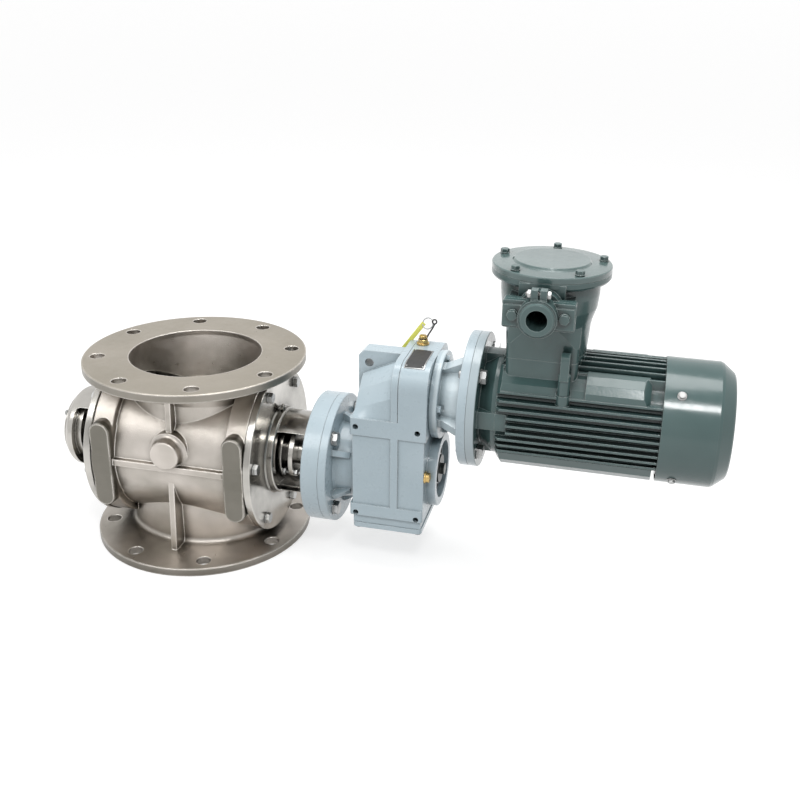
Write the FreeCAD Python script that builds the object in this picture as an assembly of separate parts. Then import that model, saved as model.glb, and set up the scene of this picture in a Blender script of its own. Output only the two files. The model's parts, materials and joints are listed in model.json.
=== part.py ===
import FreeCAD, Part

import math
import os

"""Rotary airlock valve with a parallel-shaft gear unit and a flanged motor.

Millimetres, +Z up, +X from the valve towards the motor. The origin is the centre of the underside of the
outlet flange. Each function builds one piece and each piece goes to its own STEP file.
"""

# Running and assembly clearances
FIT = 0.02
RUN_GAP = 0.4
BOLT_GAP = 0.5
THREAD_GAP = 0.1
SEAT_GAP = 0.05
FACE_GAP = 0.3
RING_GAP = 0.2

# Screws: shank radius, across flats and head height, and the socket heads
SCREW_R = 3.0
SCREW_AF = 10.0
SCREW_HEAD_T = 4.2
SOCKET_HEAD_R = 5.0
SOCKET_HEAD_T = 6.0
SOCKET_AF = 5.0
CAP_SCREW_R = 2.5
CAP_SCREW_AF = 8.0
BOX_BOLT_R = 4.0
BOX_BOLT_AF = 13.0
PLUG_R = 6.5

# Inlet and outlet flanges
VALVE_HEIGHT = 298.0
PORT_FLANGE_R = 170.0
PORT_FLANGE_T = 13.0
PORT_BOLT_INSET = 22.5
PORT_HOLES = 8
PORT_HOLE_R = 11.0
PORT_LAND = 8.0
PORT_EDGE = 1.0

# Body between its end covers, throats, barrel, ribs, pads and front boss
BODY_HALF_LENGTH = 122.0
THROAT_SETBACK = 6.0
THROAT_END_WALL = 15.0
THROAT_HALF_Y = 92.0
THROAT_WALL = 8.0
THROAT_FLARE = 17.0
THROAT_FLARE_DEPTH = 40.0
THROAT_FILLET = 8.0
PASSAGE_TAPER_TOP = 66.0
PASSAGE_TAPER_BOTTOM = 16.0
BARREL_BORE_R = 100.0
BARREL_WALL = 15.0
END_FLANGE_RIM = 26.0
END_FLANGE_T = 32.0
EQUATOR_RIB_PROUD = 6.0
EQUATOR_RIB_T = 10.0
EQUATOR_RIB_RISE = 4.5
RIB_DRAFT = 2.5
UPRIGHT_RIB_T = 9.0
UPRIGHT_RIB_FOOT = 4.5
UPRIGHT_RIB_TOP = -11.5
PAD_PROUD = 10.0
PAD_WIDTH = 31.0
PAD_HEIGHT = 137.0
PAD_DRAFT = 2.5
BOSS_RISE = 30.5
BOSS_PROUD = 15.0
BOSS_R = 23.0
BOSS_COVE = 7.0

# End covers, gasket, pedestals
GASKET_T = 1.0
COVER_LIP = 2.0
COVER_T = 11.0
SPIGOT_LENGTH = 18.0
COVER_BOLT_COUNT = 6
COVER_BOLT_INSET = 15.0
COVER_BOLT_R = 5.0
COVER_BOLT_AF = 15.0
COVER_BOLT_HEAD_T = 6.4
COVER_BOLT_GRIP = 20.0
COVER_BOLT_TURN = 9.0
PEDESTAL_RING_LIP = 3.0
PEDESTAL_RING_T = 12.0
PEDESTAL_R = 65.0
PEDESTAL_WALL = 9.0
PEDESTAL_LENGTH_DRIVE = 55.7
PEDESTAL_LENGTH_FREE = 61.0
PEDESTAL_END_T = 9.0
WINDOW_HALF_ANGLE = 50.0
WINDOW_LENGTH = 46.0
WINDOW_CORNER_R = 7.0

# Shaft, rotor and stuffing boxes
SHAFT_R = 20.0
SHAFT_DRIVE_R = 17.5
ROTOR_END_GAP = 0.6
ROTOR_HUB_R = 34.0
ROTOR_VANES = 8
VANE_T = 6.0
VANE_ROOT_R = 10.0
PACKING_SIZE = 8.0
PACKING_COUNT = 3
STUFFING_WALL = 8.0
STUFFING_FLANGE_R = 46.0
STUFFING_FLANGE_T = 6.0
STUFFING_LENGTH = 18.0
FOLLOWER_T = 7.0
FOLLOWER_GAP = 11.0
FOLLOWER_NOSE = 6.0
GLAND_STUD_R = 3.0
GLAND_STUD_INSET = 6.0
GLAND_STUD_COUNT = 3
GLAND_NUT_AF = 10.0
GLAND_NUT_T = 5.0
PURGE_AF = 8.0
KEY_WIDTH = 10.0
KEY_HEIGHT = 8.0
ROTOR_KEY_HALF = 30.0
RETAINER_T = 3.5
RETAINER_SCREW_R = 5.0

# Shaft bearings of the valve
BEARING_R = 40.0
BEARING_WIDTH = 18.0
BEARING_SETBACK = 3.0
BEARING_LIP = 6.0
BEARING_RING_GAP = 0.5
FREE_CAP_RIM = 14.0
FREE_CAP_T = 6.0

# Large round discs of the drive (200 mm flange, bolts on 165 mm)
DISC_R = 100.0
DISC_BOLT_INSET = 17.5
DISC_BOLTS = 4
DISC_BOLT_R = 6.0
DISC_BOLT_HEAD_AF = 18.0
DISC_BOLT_HEAD_T = 7.5
GEAR_BOLT_REACH = 19.0
MOTOR_BOLT_REACH = 18.0
DISC_REGISTER_R = 65.0
DISC_REGISTER_DEPTH = 4.0
ADAPTER_T = 26.3
GEAR_FLANGE_T = 12.4
MOTOR_DISC_T = 13.0

# Gear unit, along the shaft
NECK_LENGTH = 30.6
NECK_ROOT_R = 62.0
NECK_TIP_R = 58.0
NECK_WALL = 8.5
NECK_RIB_T = 9.0
NECK_SCREW_PCD = 96.0
CASE_LENGTH = 112.0
TOWER_OVERHANG = 3.0
TOWER_LENGTH = 42.0
CASE_STRIP = 11.0
SEAM = 1.2
OUTPUT_BOSS_LENGTH = 14.0
OUTPUT_BOSS_R = 57.0
HOLLOW_SHAFT_R = 24.0
HOLLOW_SHAFT_OVERHANG = 7.0
HOLLOW_SHAFT_SETBACK = 6.0
OUTPUT_BEARING_R = 40.0
OUTPUT_BEARING_WIDTH = 16.0

# Gear case across and in height, from the shaft axis
CASE_HALF_Y = 75.0
CASE_PANEL_INSET = 2.2
CASE_SIDE_INSET = 4.0
CASE_WALL = 7.0
CASE_DROP = 56.0
CASE_RISE = 104.0
CASE_BAND_LOW_H = 19.0
CASE_BAND_HIGH_H = 27.0
SIDE_HOLE_SPACING_X = 92.85
SIDE_HOLE_SPACING_Z = 142.0
SIDE_HOLE_START = 55.6
SIDE_HOLE_RISE = 19.2
SIDE_HOLE_R = 4.25
SIDE_HOLE_DEPTH = 16.0
TOWER_EDGE_R = 36.0
TOWER_HEAD = 64.7
LUG_OVERHANG = 3.0
LUG_HALF_T = 14.0
LUG_HOLE_INSET = 16.0
LUG_HOLE_RISE = 168.0
LUG_HEAD = 19.0
LUG_HOLE_R = 6.5
SHOULDER_LOW = ((60.0, 8.0), (38.0, 29.0), (17.0, 47.0))
SHOULDER_HIGH = ((70.0, 36.0), (54.0, 62.0), (24.0, 76.0))
BREATHER_INSET = 11.0
BREATHER_Y = 30.0
OIL_PLUG_Y = 64.0
OIL_PLUG_RISE = 16.0

# Base cover of the gear case
BASE_SKIRT = 14.0
BASE_COVER_T = 8.0
BASE_INSET_LEFT = 5.0
BASE_INSET_RIGHT = 3.0
BASE_HALF_Y = 71.0
BASE_SCREW_INSET = 6.0
BASE_SCREW_ROWS = (-62.0, -21.0, 21.0, 62.0)

# Gears: two parallel-shaft stages
PRESSURE_ANGLE = 20.0
FINAL_MODULE = 2.0
FINAL_PINION_TEETH = 11
FINAL_GEAR_TEETH = 61
FINAL_SHIFT = 0.36
FIRST_MODULE = 1.25
FIRST_PINION_TEETH = 12
FIRST_GEAR_TEETH = 74
FIRST_SHIFT = 0.30
TOOTH_THINNING = 0.22
LAY_Y = 9.4
FINAL_FACE_START = 26.0
FINAL_FACE_WIDTH = 43.0
GEAR_SPACE = 6.0
FIRST_FACE_WIDTH = 15.0

# Small gear bearings
SMALL_BEARING_SHAFT_R = 10.0
SMALL_BEARING_R = 21.0
SMALL_BEARING_WIDTH = 12.0
SMALL_SEAT_WALL = 5.0
BEARING_RELIEF = 1.0

# Motor adapter
ADAPTER_FLANGE_R = 66.0
ADAPTER_FLANGE_T = 12.0
ADAPTER_CONE_R0 = 50.0
ADAPTER_CONE_R1 = 58.0
ADAPTER_RIB_T = 15.0
ADAPTER_SCREW_PCD = 114.0
ADAPTER_SCREWS = 4
ADAPTER_SCREW_GRIP = 7.0
ADAPTER_SPIGOT = 5.0
ADAPTER_SPIGOT_R = 36.0
ADAPTER_LENGTH = 46.5
SLEEVE_R = 17.5
SLEEVE_BEARING_R = 36.0
SLEEVE_BEARING_WIDTH = 17.0
SLEEVE_BEARING_START = 18.0

# Motor
MOTOR_SHAFT_R = 12.0
MOTOR_SHAFT_OUT = 48.0
MOTOR_SHAFT_BODY_R = 16.0
MOTOR_TAIL_R = 10.0
MOTOR_KEY_WIDTH = 8.0
MOTOR_KEY_LENGTH = 32.0
MOTOR_BEARING_R = 26.0
MOTOR_BEARING_WIDTH = 15.0
MOTOR_JOURNAL_R = 12.5
SHIELD_LENGTH = 25.5
SHIELD_LUMP_HALF = 13.0
SHIELD_LUMP_REACH = 16.0
STATOR_LENGTH = 227.0
STATOR_BASE_R = 76.0
STATOR_WALL = 6.0
FIN_HEIGHT = 12.0
FIN_T = 3.2
FIN_PITCH = 11.2
FIN_ROWS = 4
FIN_LEAD = 9.0
SHOULDER_LENGTH = 122.0
PAD_LENGTH = 88.0
CORE_START = 41.0
CORE_LENGTH = 130.0
CORE_DEPTH = 26.0
AIR_GAP = 0.6
WINDING_INSET = 6.0
WINDING_T = 16.0
WINDING_LENGTH = 24.0
REAR_SHIELD_T = 16.0
COWL_OVER_FINS = 1.5
COWL_WALL = 1.8
COWL_LENGTH = 95.7
COWL_BEVEL_LENGTH = 21.0
COWL_BEVEL_DEPTH = 15.5
COWL_SCREW_START = 23.0
FAN_START = 31.0
FAN_LENGTH = 26.0
FAN_R = 74.0
FAN_BLADES = 8

# Terminal box on its saddle, its lid and its cable entry
BOX_START = 58.0
BOX_SEAT_OVER_FINS = 2.7
BOX_SEAT_HALF_X = 50.0
BOX_SEAT_HALF_Y = 58.0
BOX_SEAT_CORNER = 8.0
BOX_SEAT_R = 57.0
BOX_FLOOR_T = 8.0
BOX_WIRE_R = 20.0
BOX_HEIGHT = 131.0
BOX_LID_R = 83.0
BOX_LID_T = 13.0
BOX_RIM_T = 10.0
BOX_NECK_R = 69.0
BOX_WAIST_R = 60.0
BOX_WALL = 7.0
LID_BOLTS = 5
LID_BOLT_PCD = 146.0
LID_BOLT_R = 3.5
LID_BOLT_AF = 11.0
LID_BOLT_HEAD_T = 5.5
LID_DOME_R = 55.0
LID_DOME_RISE = 3.0
ENTRY_OFFSET = 3.5
ENTRY_DROP = 50.0
ENTRY_R = 23.0
ENTRY_BORE_R = 14.0
ENTRY_HUB_R = 26.0
ENTRY_BODY_R = 31.0
ENTRY_BORE_DEPTH = 42.0
ENTRY_REACH = 23.0
ENTRY_NOZZLE = 22.0
ENTRY_PLATE_T = 9.0
ENTRY_SEAT_T = 9.0
ENTRY_WING = 48.0
ENTRY_WING_HALF = 19.0
ENTRY_BOLT_SPACING = 68.0
ENTRY_LUG_T = 9.0
ENTRY_LUG_GAP = 3.0
PINCH_R = 3.0
PINCH_AF = 10.0

# Lifting eye
EYE_START = 92.0
EYE_INSET = 5.0
EYE_RISE = 50.0
EYE_NECK = 31.0
EYE_STRAP = 20.0
EYE_RING_R = 10.0
EYE_HOLE_R = 5.5
EYE_WIDTH = 12.0
EYE_STEM_R = 4.0
EYE_STEM_LENGTH = 11.0
EYE_COLLAR_R = 8.5
EYE_REST_R = 9.5

# Sizes and places that follow from the sizes above, first the valve
PORT_PCD = 2 * (PORT_FLANGE_R - PORT_BOLT_INSET)
THROAT_HALF_X = BODY_HALF_LENGTH - THROAT_SETBACK
PORT_R = THROAT_HALF_X - THROAT_END_WALL
BARREL_R = BARREL_BORE_R + BARREL_WALL
END_FLANGE_R = BARREL_BORE_R + END_FLANGE_RIM
COVER_R = END_FLANGE_R + COVER_LIP
COVER_BOLT_PCD = 2 * (END_FLANGE_R - COVER_BOLT_INSET)
PEDESTAL_RING_R = PEDESTAL_R + PEDESTAL_RING_LIP
PACKING_R = SHAFT_R + PACKING_SIZE
STUFFING_R = PACKING_R + STUFFING_WALL
GLAND_STUD_PCD = 2 * (STUFFING_FLANGE_R - GLAND_STUD_INSET)
AXIS_Z = VALVE_HEIGHT / 2
ROTOR_R = BARREL_BORE_R - RUN_GAP
ROTOR_HALF_LENGTH = BODY_HALF_LENGTH + GASKET_T - SPIGOT_LENGTH - ROTOR_END_GAP
COVER_X0 = BODY_HALF_LENGTH + GASKET_T
COVER_X1 = COVER_X0 + COVER_T
PEDESTAL_X0 = COVER_X1 + PEDESTAL_RING_T
PEDESTAL_END_DRIVE = PEDESTAL_X0 + PEDESTAL_LENGTH_DRIVE
PEDESTAL_END_FREE = PEDESTAL_X0 + PEDESTAL_LENGTH_FREE
PURGE_X = COVER_X1 + PEDESTAL_RING_T / 2 + 1
FREE_CAP_R = BEARING_R + FREE_CAP_RIM
DISC_PCD = 2 * (DISC_R - DISC_BOLT_INSET)
ADAPTER_X0 = PEDESTAL_END_DRIVE
ADAPTER_X1 = ADAPTER_X0 + ADAPTER_T
GEAR_FLANGE_X1 = ADAPTER_X1 + GEAR_FLANGE_T
DRIVE_BEARING_X0 = ADAPTER_X0 + BEARING_SETBACK
FREE_BEARING_X0 = BEARING_SETBACK - PEDESTAL_END_FREE

# Gear unit
NECK_BORE_R = NECK_ROOT_R - NECK_WALL
CASE_BAND_X0 = GEAR_FLANGE_X1 + NECK_LENGTH
CASE_BAND_X1 = CASE_BAND_X0 + CASE_LENGTH
TOWER_X1 = CASE_BAND_X1 + TOWER_OVERHANG
TOWER_X0 = TOWER_X1 - TOWER_LENGTH
CASE_STRIP_X0 = TOWER_X0 - CASE_STRIP
OUTPUT_BOSS_X1 = CASE_BAND_X1 + OUTPUT_BOSS_LENGTH
HOLLOW_SHAFT_X0 = CASE_BAND_X0 - HOLLOW_SHAFT_OVERHANG
HOLLOW_SHAFT_X1 = OUTPUT_BOSS_X1 - HOLLOW_SHAFT_SETBACK
FINAL_FACE_X0 = CASE_BAND_X0 + FINAL_FACE_START
FINAL_FACE_X1 = FINAL_FACE_X0 + FINAL_FACE_WIDTH
FIRST_FACE_X0 = FINAL_FACE_X1 + GEAR_SPACE
FIRST_FACE_X1 = FIRST_FACE_X0 + FIRST_FACE_WIDTH
FINAL_CENTRES = FINAL_MODULE * (FINAL_PINION_TEETH + FINAL_GEAR_TEETH) / 2
FIRST_CENTRES = FIRST_MODULE * (FIRST_PINION_TEETH + FIRST_GEAR_TEETH) / 2
LAY_RISE = math.sqrt(FINAL_CENTRES ** 2 - LAY_Y ** 2)
INPUT_RISE = LAY_RISE + math.sqrt(FIRST_CENTRES ** 2 - LAY_Y ** 2)
LAY_Z = AXIS_Z + LAY_RISE
INPUT_Z = AXIS_Z + INPUT_RISE
CASE_BAND_BOTTOM = AXIS_Z - CASE_DROP
CASE_BAND_TOP = AXIS_Z + CASE_RISE
CASE_BAND_HIGH_Z = CASE_BAND_TOP - CASE_BAND_HIGH_H
TOWER_TOP = INPUT_Z + TOWER_HEAD
SIDE_HOLE_X = CASE_BAND_X0 + SIDE_HOLE_START
SIDE_HOLE_Z = AXIS_Z + SIDE_HOLE_RISE
LUG_X0 = CASE_BAND_X0 - LUG_OVERHANG
LUG_HOLE_X = LUG_X0 + LUG_HOLE_INSET
LUG_HOLE_Z = AXIS_Z + LUG_HOLE_RISE
LUG_TOP = LUG_HOLE_Z + LUG_HEAD
BREATHER_X = TOWER_X0 + BREATHER_INSET
BASE_X0 = CASE_BAND_X0 + BASE_INSET_LEFT
BASE_X1 = CASE_BAND_X1 - BASE_INSET_RIGHT
BASE_COVER_TOP = CASE_BAND_BOTTOM - BASE_SKIRT
BASE_COVER_BOTTOM = BASE_COVER_TOP - BASE_COVER_T

# Motor adapter and motor
STATOR_BORE_R = STATOR_BASE_R - STATOR_WALL
FIN_TIP_R = STATOR_BASE_R + FIN_HEIGHT
CORE_BORE_R = STATOR_BORE_R - CORE_DEPTH
ROTOR_CORE_R = CORE_BORE_R - AIR_GAP
WINDING_R = STATOR_BORE_R - WINDING_INSET
WINDING_BORE_R = WINDING_R - WINDING_T
COWL_R = FIN_TIP_R + COWL_OVER_FINS
ADAPTER_FLANGE_X1 = TOWER_X1 + ADAPTER_FLANGE_T
ADAPTER_DISC_X0 = TOWER_X1 + ADAPTER_LENGTH
SLEEVE_BEARING_X0 = TOWER_X1 + SLEEVE_BEARING_START
MOTOR_FACE_X = ADAPTER_DISC_X0 + MOTOR_DISC_T
MOTOR_DISC_X1 = MOTOR_FACE_X + MOTOR_DISC_T
SHIELD_END_X = MOTOR_DISC_X1 + SHIELD_LENGTH
SHIELD_BODY_R = STATOR_BASE_R
STATOR_END_X = SHIELD_END_X + STATOR_LENGTH
SHOULDER_END_X = SHIELD_END_X + SHOULDER_LENGTH
CORE_X0 = SHIELD_END_X + CORE_START
CORE_X1 = CORE_X0 + CORE_LENGTH
COWL_START_X = STATOR_END_X + FACE_GAP
COWL_END_X = COWL_START_X + COWL_LENGTH
COWL_BEVEL_X = COWL_END_X - COWL_BEVEL_LENGTH
COWL_END_R = COWL_R - COWL_BEVEL_DEPTH
COWL_SCREW_X = STATOR_END_X + COWL_SCREW_START
FAN_X0 = STATOR_END_X + FAN_START
FAN_X1 = FAN_X0 + FAN_LENGTH

# Terminal box and lifting eye
BOX_X = SHIELD_END_X + BOX_START
BOX_FOOT_Z = INPUT_Z + FIN_TIP_R + BOX_SEAT_OVER_FINS
BOX_LID_TOP = BOX_FOOT_Z + BOX_HEIGHT
BOX_RIM_Z = BOX_LID_TOP - BOX_LID_T
BOX_NECK_HEIGHT = BOX_RIM_Z - BOX_FOOT_Z
ENTRY_X = BOX_X - ENTRY_OFFSET
ENTRY_Z = BOX_LID_TOP - ENTRY_DROP
ENTRY_PLATE_Y = -(BOX_LID_R + ENTRY_REACH)
ENTRY_SEAT_Y = ENTRY_PLATE_Y + ENTRY_PLATE_T
ENTRY_FACE_Y = ENTRY_PLATE_Y - ENTRY_NOZZLE
EYE_X = SHIELD_END_X + EYE_START
EYE_Y = EYE_INSET - STATOR_BASE_R
EYE_BASE_Z = INPUT_Z + EYE_RISE


def vec(x, y, z):
    """Return a vector."""
    return FreeCAD.Vector(x, y, z)


X_DIR = vec(1, 0, 0)
Y_DIR = vec(0, 1, 0)
Z_DIR = vec(0, 0, 1)


def rod_x(x0, x1, r, y=0.0, z=AXIS_Z):
    """Return a cylinder along X."""
    return Part.makeCylinder(r, x1 - x0, vec(x0, y, z), X_DIR)


def rod_y(y0, y1, r, x, z):
    """Return a cylinder along Y."""
    return Part.makeCylinder(r, y1 - y0, vec(x, y0, z), Y_DIR)


def rod_z(z0, z1, r, x=0.0, y=0.0):
    """Return a cylinder along Z."""
    return Part.makeCylinder(r, z1 - z0, vec(x, y, z0), Z_DIR)


def tube_x(x0, x1, r_out, r_in, y=0.0, z=AXIS_Z):
    """Return a ring along X."""
    return rod_x(x0, x1, r_out, y, z).cut(rod_x(x0 - 1, x1 + 1, r_in, y, z))


def block(x0, x1, y0, y1, z0, z1):
    """Return a box between two corners."""
    return Part.makeBox(x1 - x0, y1 - y0, z1 - z0, vec(x0, y0, z0))


def join(shapes):
    """Return the union of several shapes."""
    shapes = list(shapes)
    return shapes[0].multiFuse(shapes[1:])


def group(shapes):
    """Return a compound that keeps its solids apart."""
    return Part.makeCompound(list(shapes))


def turned(profile, y=0.0, z=AXIS_Z):
    """Return the solid that an (x, r) outline sweeps about an axis along X."""
    points = [vec(x, y, z + r) for x, r in profile]
    face = Part.Face(Part.makePolygon(points + [points[0]]))
    return face.revolve(vec(0, y, z), X_DIR, 360)


def turned_up(profile, x, y=0.0):
    """Return the solid that an (r, z) outline sweeps about an axis along Z."""
    points = [vec(x + r, y, z) for r, z in profile]
    face = Part.Face(Part.makePolygon(points + [points[0]]))
    return face.revolve(vec(x, y, 0), Z_DIR, 360)


def prism_x(outline, x0, x1):
    """Return a (y, z) outline extruded along X."""
    points = [vec(x0, y, z) for y, z in outline]
    return Part.Face(Part.makePolygon(points + [points[0]])).extrude(vec(x1 - x0, 0, 0))


def prism_y(outline, y0, y1):
    """Return an (x, z) outline extruded along Y."""
    points = [vec(x, y0, z) for x, z in outline]
    return Part.Face(Part.makePolygon(points + [points[0]])).extrude(vec(0, y1 - y0, 0))


def hexagon_x(x0, x1, across_flats, y, z):
    """Return a hexagonal bar along X, one corner up."""
    r = across_flats / math.sqrt(3)
    outline = [(y + r * math.sin(k * math.pi / 3), z + r * math.cos(k * math.pi / 3)) for k in range(6)]
    return prism_x(outline, x0, x1)


def hexagon_z(z0, z1, across_flats, x, y):
    """Return a hexagonal bar along Z."""
    r = across_flats / math.sqrt(3)
    points = [vec(x + r * math.cos(k * math.pi / 3), y + r * math.sin(k * math.pi / 3), z0) for k in range(6)]
    return Part.Face(Part.makePolygon(points + [points[0]])).extrude(vec(0, 0, z1 - z0))


def hexagon_y(y0, y1, across_flats, x, z):
    """Return a hexagonal bar along Y."""
    r = across_flats / math.sqrt(3)
    outline = [(x + r * math.cos(k * math.pi / 3), z + r * math.sin(k * math.pi / 3)) for k in range(6)]
    return prism_y(outline, y0, y1)


def ring_places(count, pcd, first_degrees):
    """Return (y, z) places round a circle about the origin of the YZ plane."""
    r = pcd / 2
    angles = [math.radians(first_degrees + k * 360.0 / count) for k in range(count)]
    return [(r * math.cos(a), r * math.sin(a)) for a in angles]


def flipped(shape):
    """Return the shape turned half round the valve's upright axis."""
    copy = shape.copy()
    copy.rotate(vec(0, 0, 0), Z_DIR, 180)
    return copy


def oval(z, half_x, half_y):
    """Return an oval wire at a height, its long side along X."""
    if half_x > half_y:
        curve = Part.Ellipse(vec(0, 0, z), half_x, half_y)
    else:
        curve = Part.Circle(vec(0, 0, z), Z_DIR, half_x)
    return Part.Wire([curve.toShape()])


def oval_post(z0, z1, half_x, half_y):
    """Return an oval column."""
    return Part.Face(oval(z0, half_x, half_y)).extrude(vec(0, 0, z1 - z0))


def save(name, shape):
    """Write one node after checking that each of its solids is sound."""
    assert shape.isValid() and shape.Solids, name
    assert all(solid.Volume > 0 for solid in shape.Solids), name
    shape.exportStep("parts/" + name + ".step")


def port_flange(z0):
    """Return one round port flange, still without its bolt holes."""
    disc = rod_z(z0, z0 + PORT_FLANGE_T, PORT_FLANGE_R)
    rims = [e for e in disc.Edges if e.Length > PORT_FLANGE_R]
    return disc.makeChamfer(PORT_EDGE, rims)


def throat_outside():
    """Return the outside of both throats, the upper one flared under its flange."""
    top = VALVE_HEIGHT - PORT_FLANGE_T
    flare = top - THROAT_FLARE_DEPTH
    column = oval_post(PORT_FLANGE_T - 1, flare, THROAT_HALF_X, THROAT_HALF_Y)
    wires = [oval(flare, THROAT_HALF_X, THROAT_HALF_Y),
             oval(top + 1, THROAT_HALF_X, THROAT_HALF_Y + THROAT_FLARE)]
    return column, Part.makeLoft(wires, True, True)


def passage():
    """Return the way through the body: round at the ports, oval where it meets the rotor."""
    half_y = THROAT_HALF_Y - THROAT_WALL
    top = VALVE_HEIGHT - PORT_LAND
    low = PORT_LAND / 2
    pieces = [rod_z(top, VALVE_HEIGHT + 1, PORT_R), rod_z(-1, low, PORT_R)]
    upper = [oval(top, PORT_R, PORT_R), oval(top - PASSAGE_TAPER_TOP, PORT_R - 0.01, half_y)]
    lower = [oval(low, PORT_R, PORT_R), oval(low + PASSAGE_TAPER_BOTTOM, PORT_R - 0.01, half_y)]
    pieces.append(Part.makeLoft(upper, True, True))
    pieces.append(Part.makeLoft(lower, True, True))
    pieces.append(oval_post(low + PASSAGE_TAPER_BOTTOM, top - PASSAGE_TAPER_TOP, PORT_R - 0.01, half_y))
    return pieces


def body_ribs():
    """Return the equator rib and the upright ribs of both sides, drafted towards their crests."""
    half = UPRIGHT_RIB_T / 2
    foot = BARREL_R + UPRIGHT_RIB_FOOT
    head = BARREL_R + UPRIGHT_RIB_TOP
    low = PORT_FLANGE_T - 1
    top = VALVE_HEIGHT - PORT_FLANGE_T + 1
    upright = prism_x([(-foot, low), (-head, top), (head, top), (foot, low)], -half, half)
    reach = BODY_HALF_LENGTH - END_FLANGE_T + 2
    crest = BARREL_R + EQUATOR_RIB_PROUD
    z = AXIS_Z + EQUATOR_RIB_RISE
    root = EQUATOR_RIB_T / 2 + RIB_DRAFT
    tip = EQUATOR_RIB_T / 2
    outline = [(-crest, z - tip), (-crest, z + tip), (-crest + 3, z + tip + 0.6), (-BARREL_R + 4, z + root),
               (BARREL_R - 4, z + root), (crest - 3, z + tip + 0.6), (crest, z + tip), (crest, z - tip),
               (crest - 3, z - tip - 0.6), (BARREL_R - 4, z - root), (-BARREL_R + 4, z - root),
               (-crest + 3, z - tip - 0.6)]
    return [upright, prism_x(outline, -reach, reach)]


def body_boss():
    """Return the round front boss with a hollow root and a rounded face edge."""
    z = AXIS_Z + BOSS_RISE
    face = -(BARREL_R + BOSS_PROUD)
    root = face + BOSS_PROUD + 2
    start = -THROAT_HALF_Y + 25
    profile = [(0, start), (BOSS_R + BOSS_COVE, start), (BOSS_R + BOSS_COVE, root)]
    for k in range(1, 5):
        turn = math.radians(90.0 * k / 4)
        profile.append((BOSS_R + BOSS_COVE * (1 - math.sin(turn)), root - BOSS_COVE * (1 - math.cos(turn))))
    profile += [(BOSS_R, face + 2.5), (BOSS_R - 0.8, face + 0.8), (BOSS_R - 2.5, face), (0, face)]
    points = [vec(r, y, z) for r, y in profile]
    face = Part.Face(Part.makePolygon(points + [points[0]]))
    return face.revolve(vec(0, 0, z), Y_DIR, 360)


def body_pads():
    """Return the four cast pads, two in front and two behind, drafted towards their faces."""
    x = BODY_HALF_LENGTH - END_FLANGE_T / 2
    root = BARREL_BORE_R - 10
    face = BARREL_R + PAD_PROUD
    keep = block(-BODY_HALF_LENGTH, BODY_HALF_LENGTH, -face, face, 0, VALVE_HEIGHT)
    pads = []
    for side_x in (-1, 1):
        for side_y in (-1, 1):
            wires = [stadium_wire(side_x * x, side_y * y, AXIS_Z, PAD_WIDTH + 2 * grow, PAD_HEIGHT + 2 * grow)
                     for y, grow in ((root, PAD_DRAFT), (face - 2, 0.5), (face, -1.0))]
            pads.append(Part.makeLoft(wires, True, True).common(keep))
    return pads


def cover_bolt_places():
    """Return the bolt places round an end cover, as (y, z) from the shaft axis."""
    return ring_places(COVER_BOLT_COUNT, COVER_BOLT_PCD, 180.0 - COVER_BOLT_TURN)


def valve_body():
    """Return the cast body."""
    column, flare = throat_outside()
    barrel = rod_x(-BODY_HALF_LENGTH, BODY_HALF_LENGTH, BARREL_R)
    ring = rod_x(BODY_HALF_LENGTH - END_FLANGE_T, BODY_HALF_LENGTH, END_FLANGE_R)
    ring = ring.makeFillet(2.0, [e for e in ring.Edges
                                 if abs(e.CenterOfMass.x - BODY_HALF_LENGTH + END_FLANGE_T) < 0.1])
    flanges = [port_flange(0.0), port_flange(VALVE_HEIGHT - PORT_FLANGE_T)]
    skin = join([column, flare] + flanges)
    roots = [e for e in skin.Edges if e.Length > 4 * THROAT_HALF_Y
             and e.BoundBox.XLength < 2 * THROAT_HALF_X + 1
             and min(abs(e.CenterOfMass.z - z) for z in (PORT_FLANGE_T, VALVE_HEIGHT - PORT_FLANGE_T)) < 0.01]
    skin = skin.makeFillet(THROAT_FILLET, roots)
    body = join([skin, barrel, ring, flipped(ring)] + body_ribs() + [body_boss()] + body_pads())
    for tool in passage():
        body = body.cut(tool)
    body = body.cut(rod_x(-BODY_HALF_LENGTH - 1, BODY_HALF_LENGTH + 1, BARREL_BORE_R))
    holes = port_bolt_holes()
    for y, z in cover_bolt_places():
        hole = rod_x(BODY_HALF_LENGTH - COVER_BOLT_GRIP, BODY_HALF_LENGTH + 1, COVER_BOLT_R + THREAD_GAP, y,
                     AXIS_Z + z)
        holes += [hole, flipped(hole)]
    return body.cut(group(holes))


def stuffing_box_places():
    """Return the gland stud places, as (y, z) from the shaft axis."""
    return ring_places(GLAND_STUD_COUNT, GLAND_STUD_PCD, 90.0)


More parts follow.
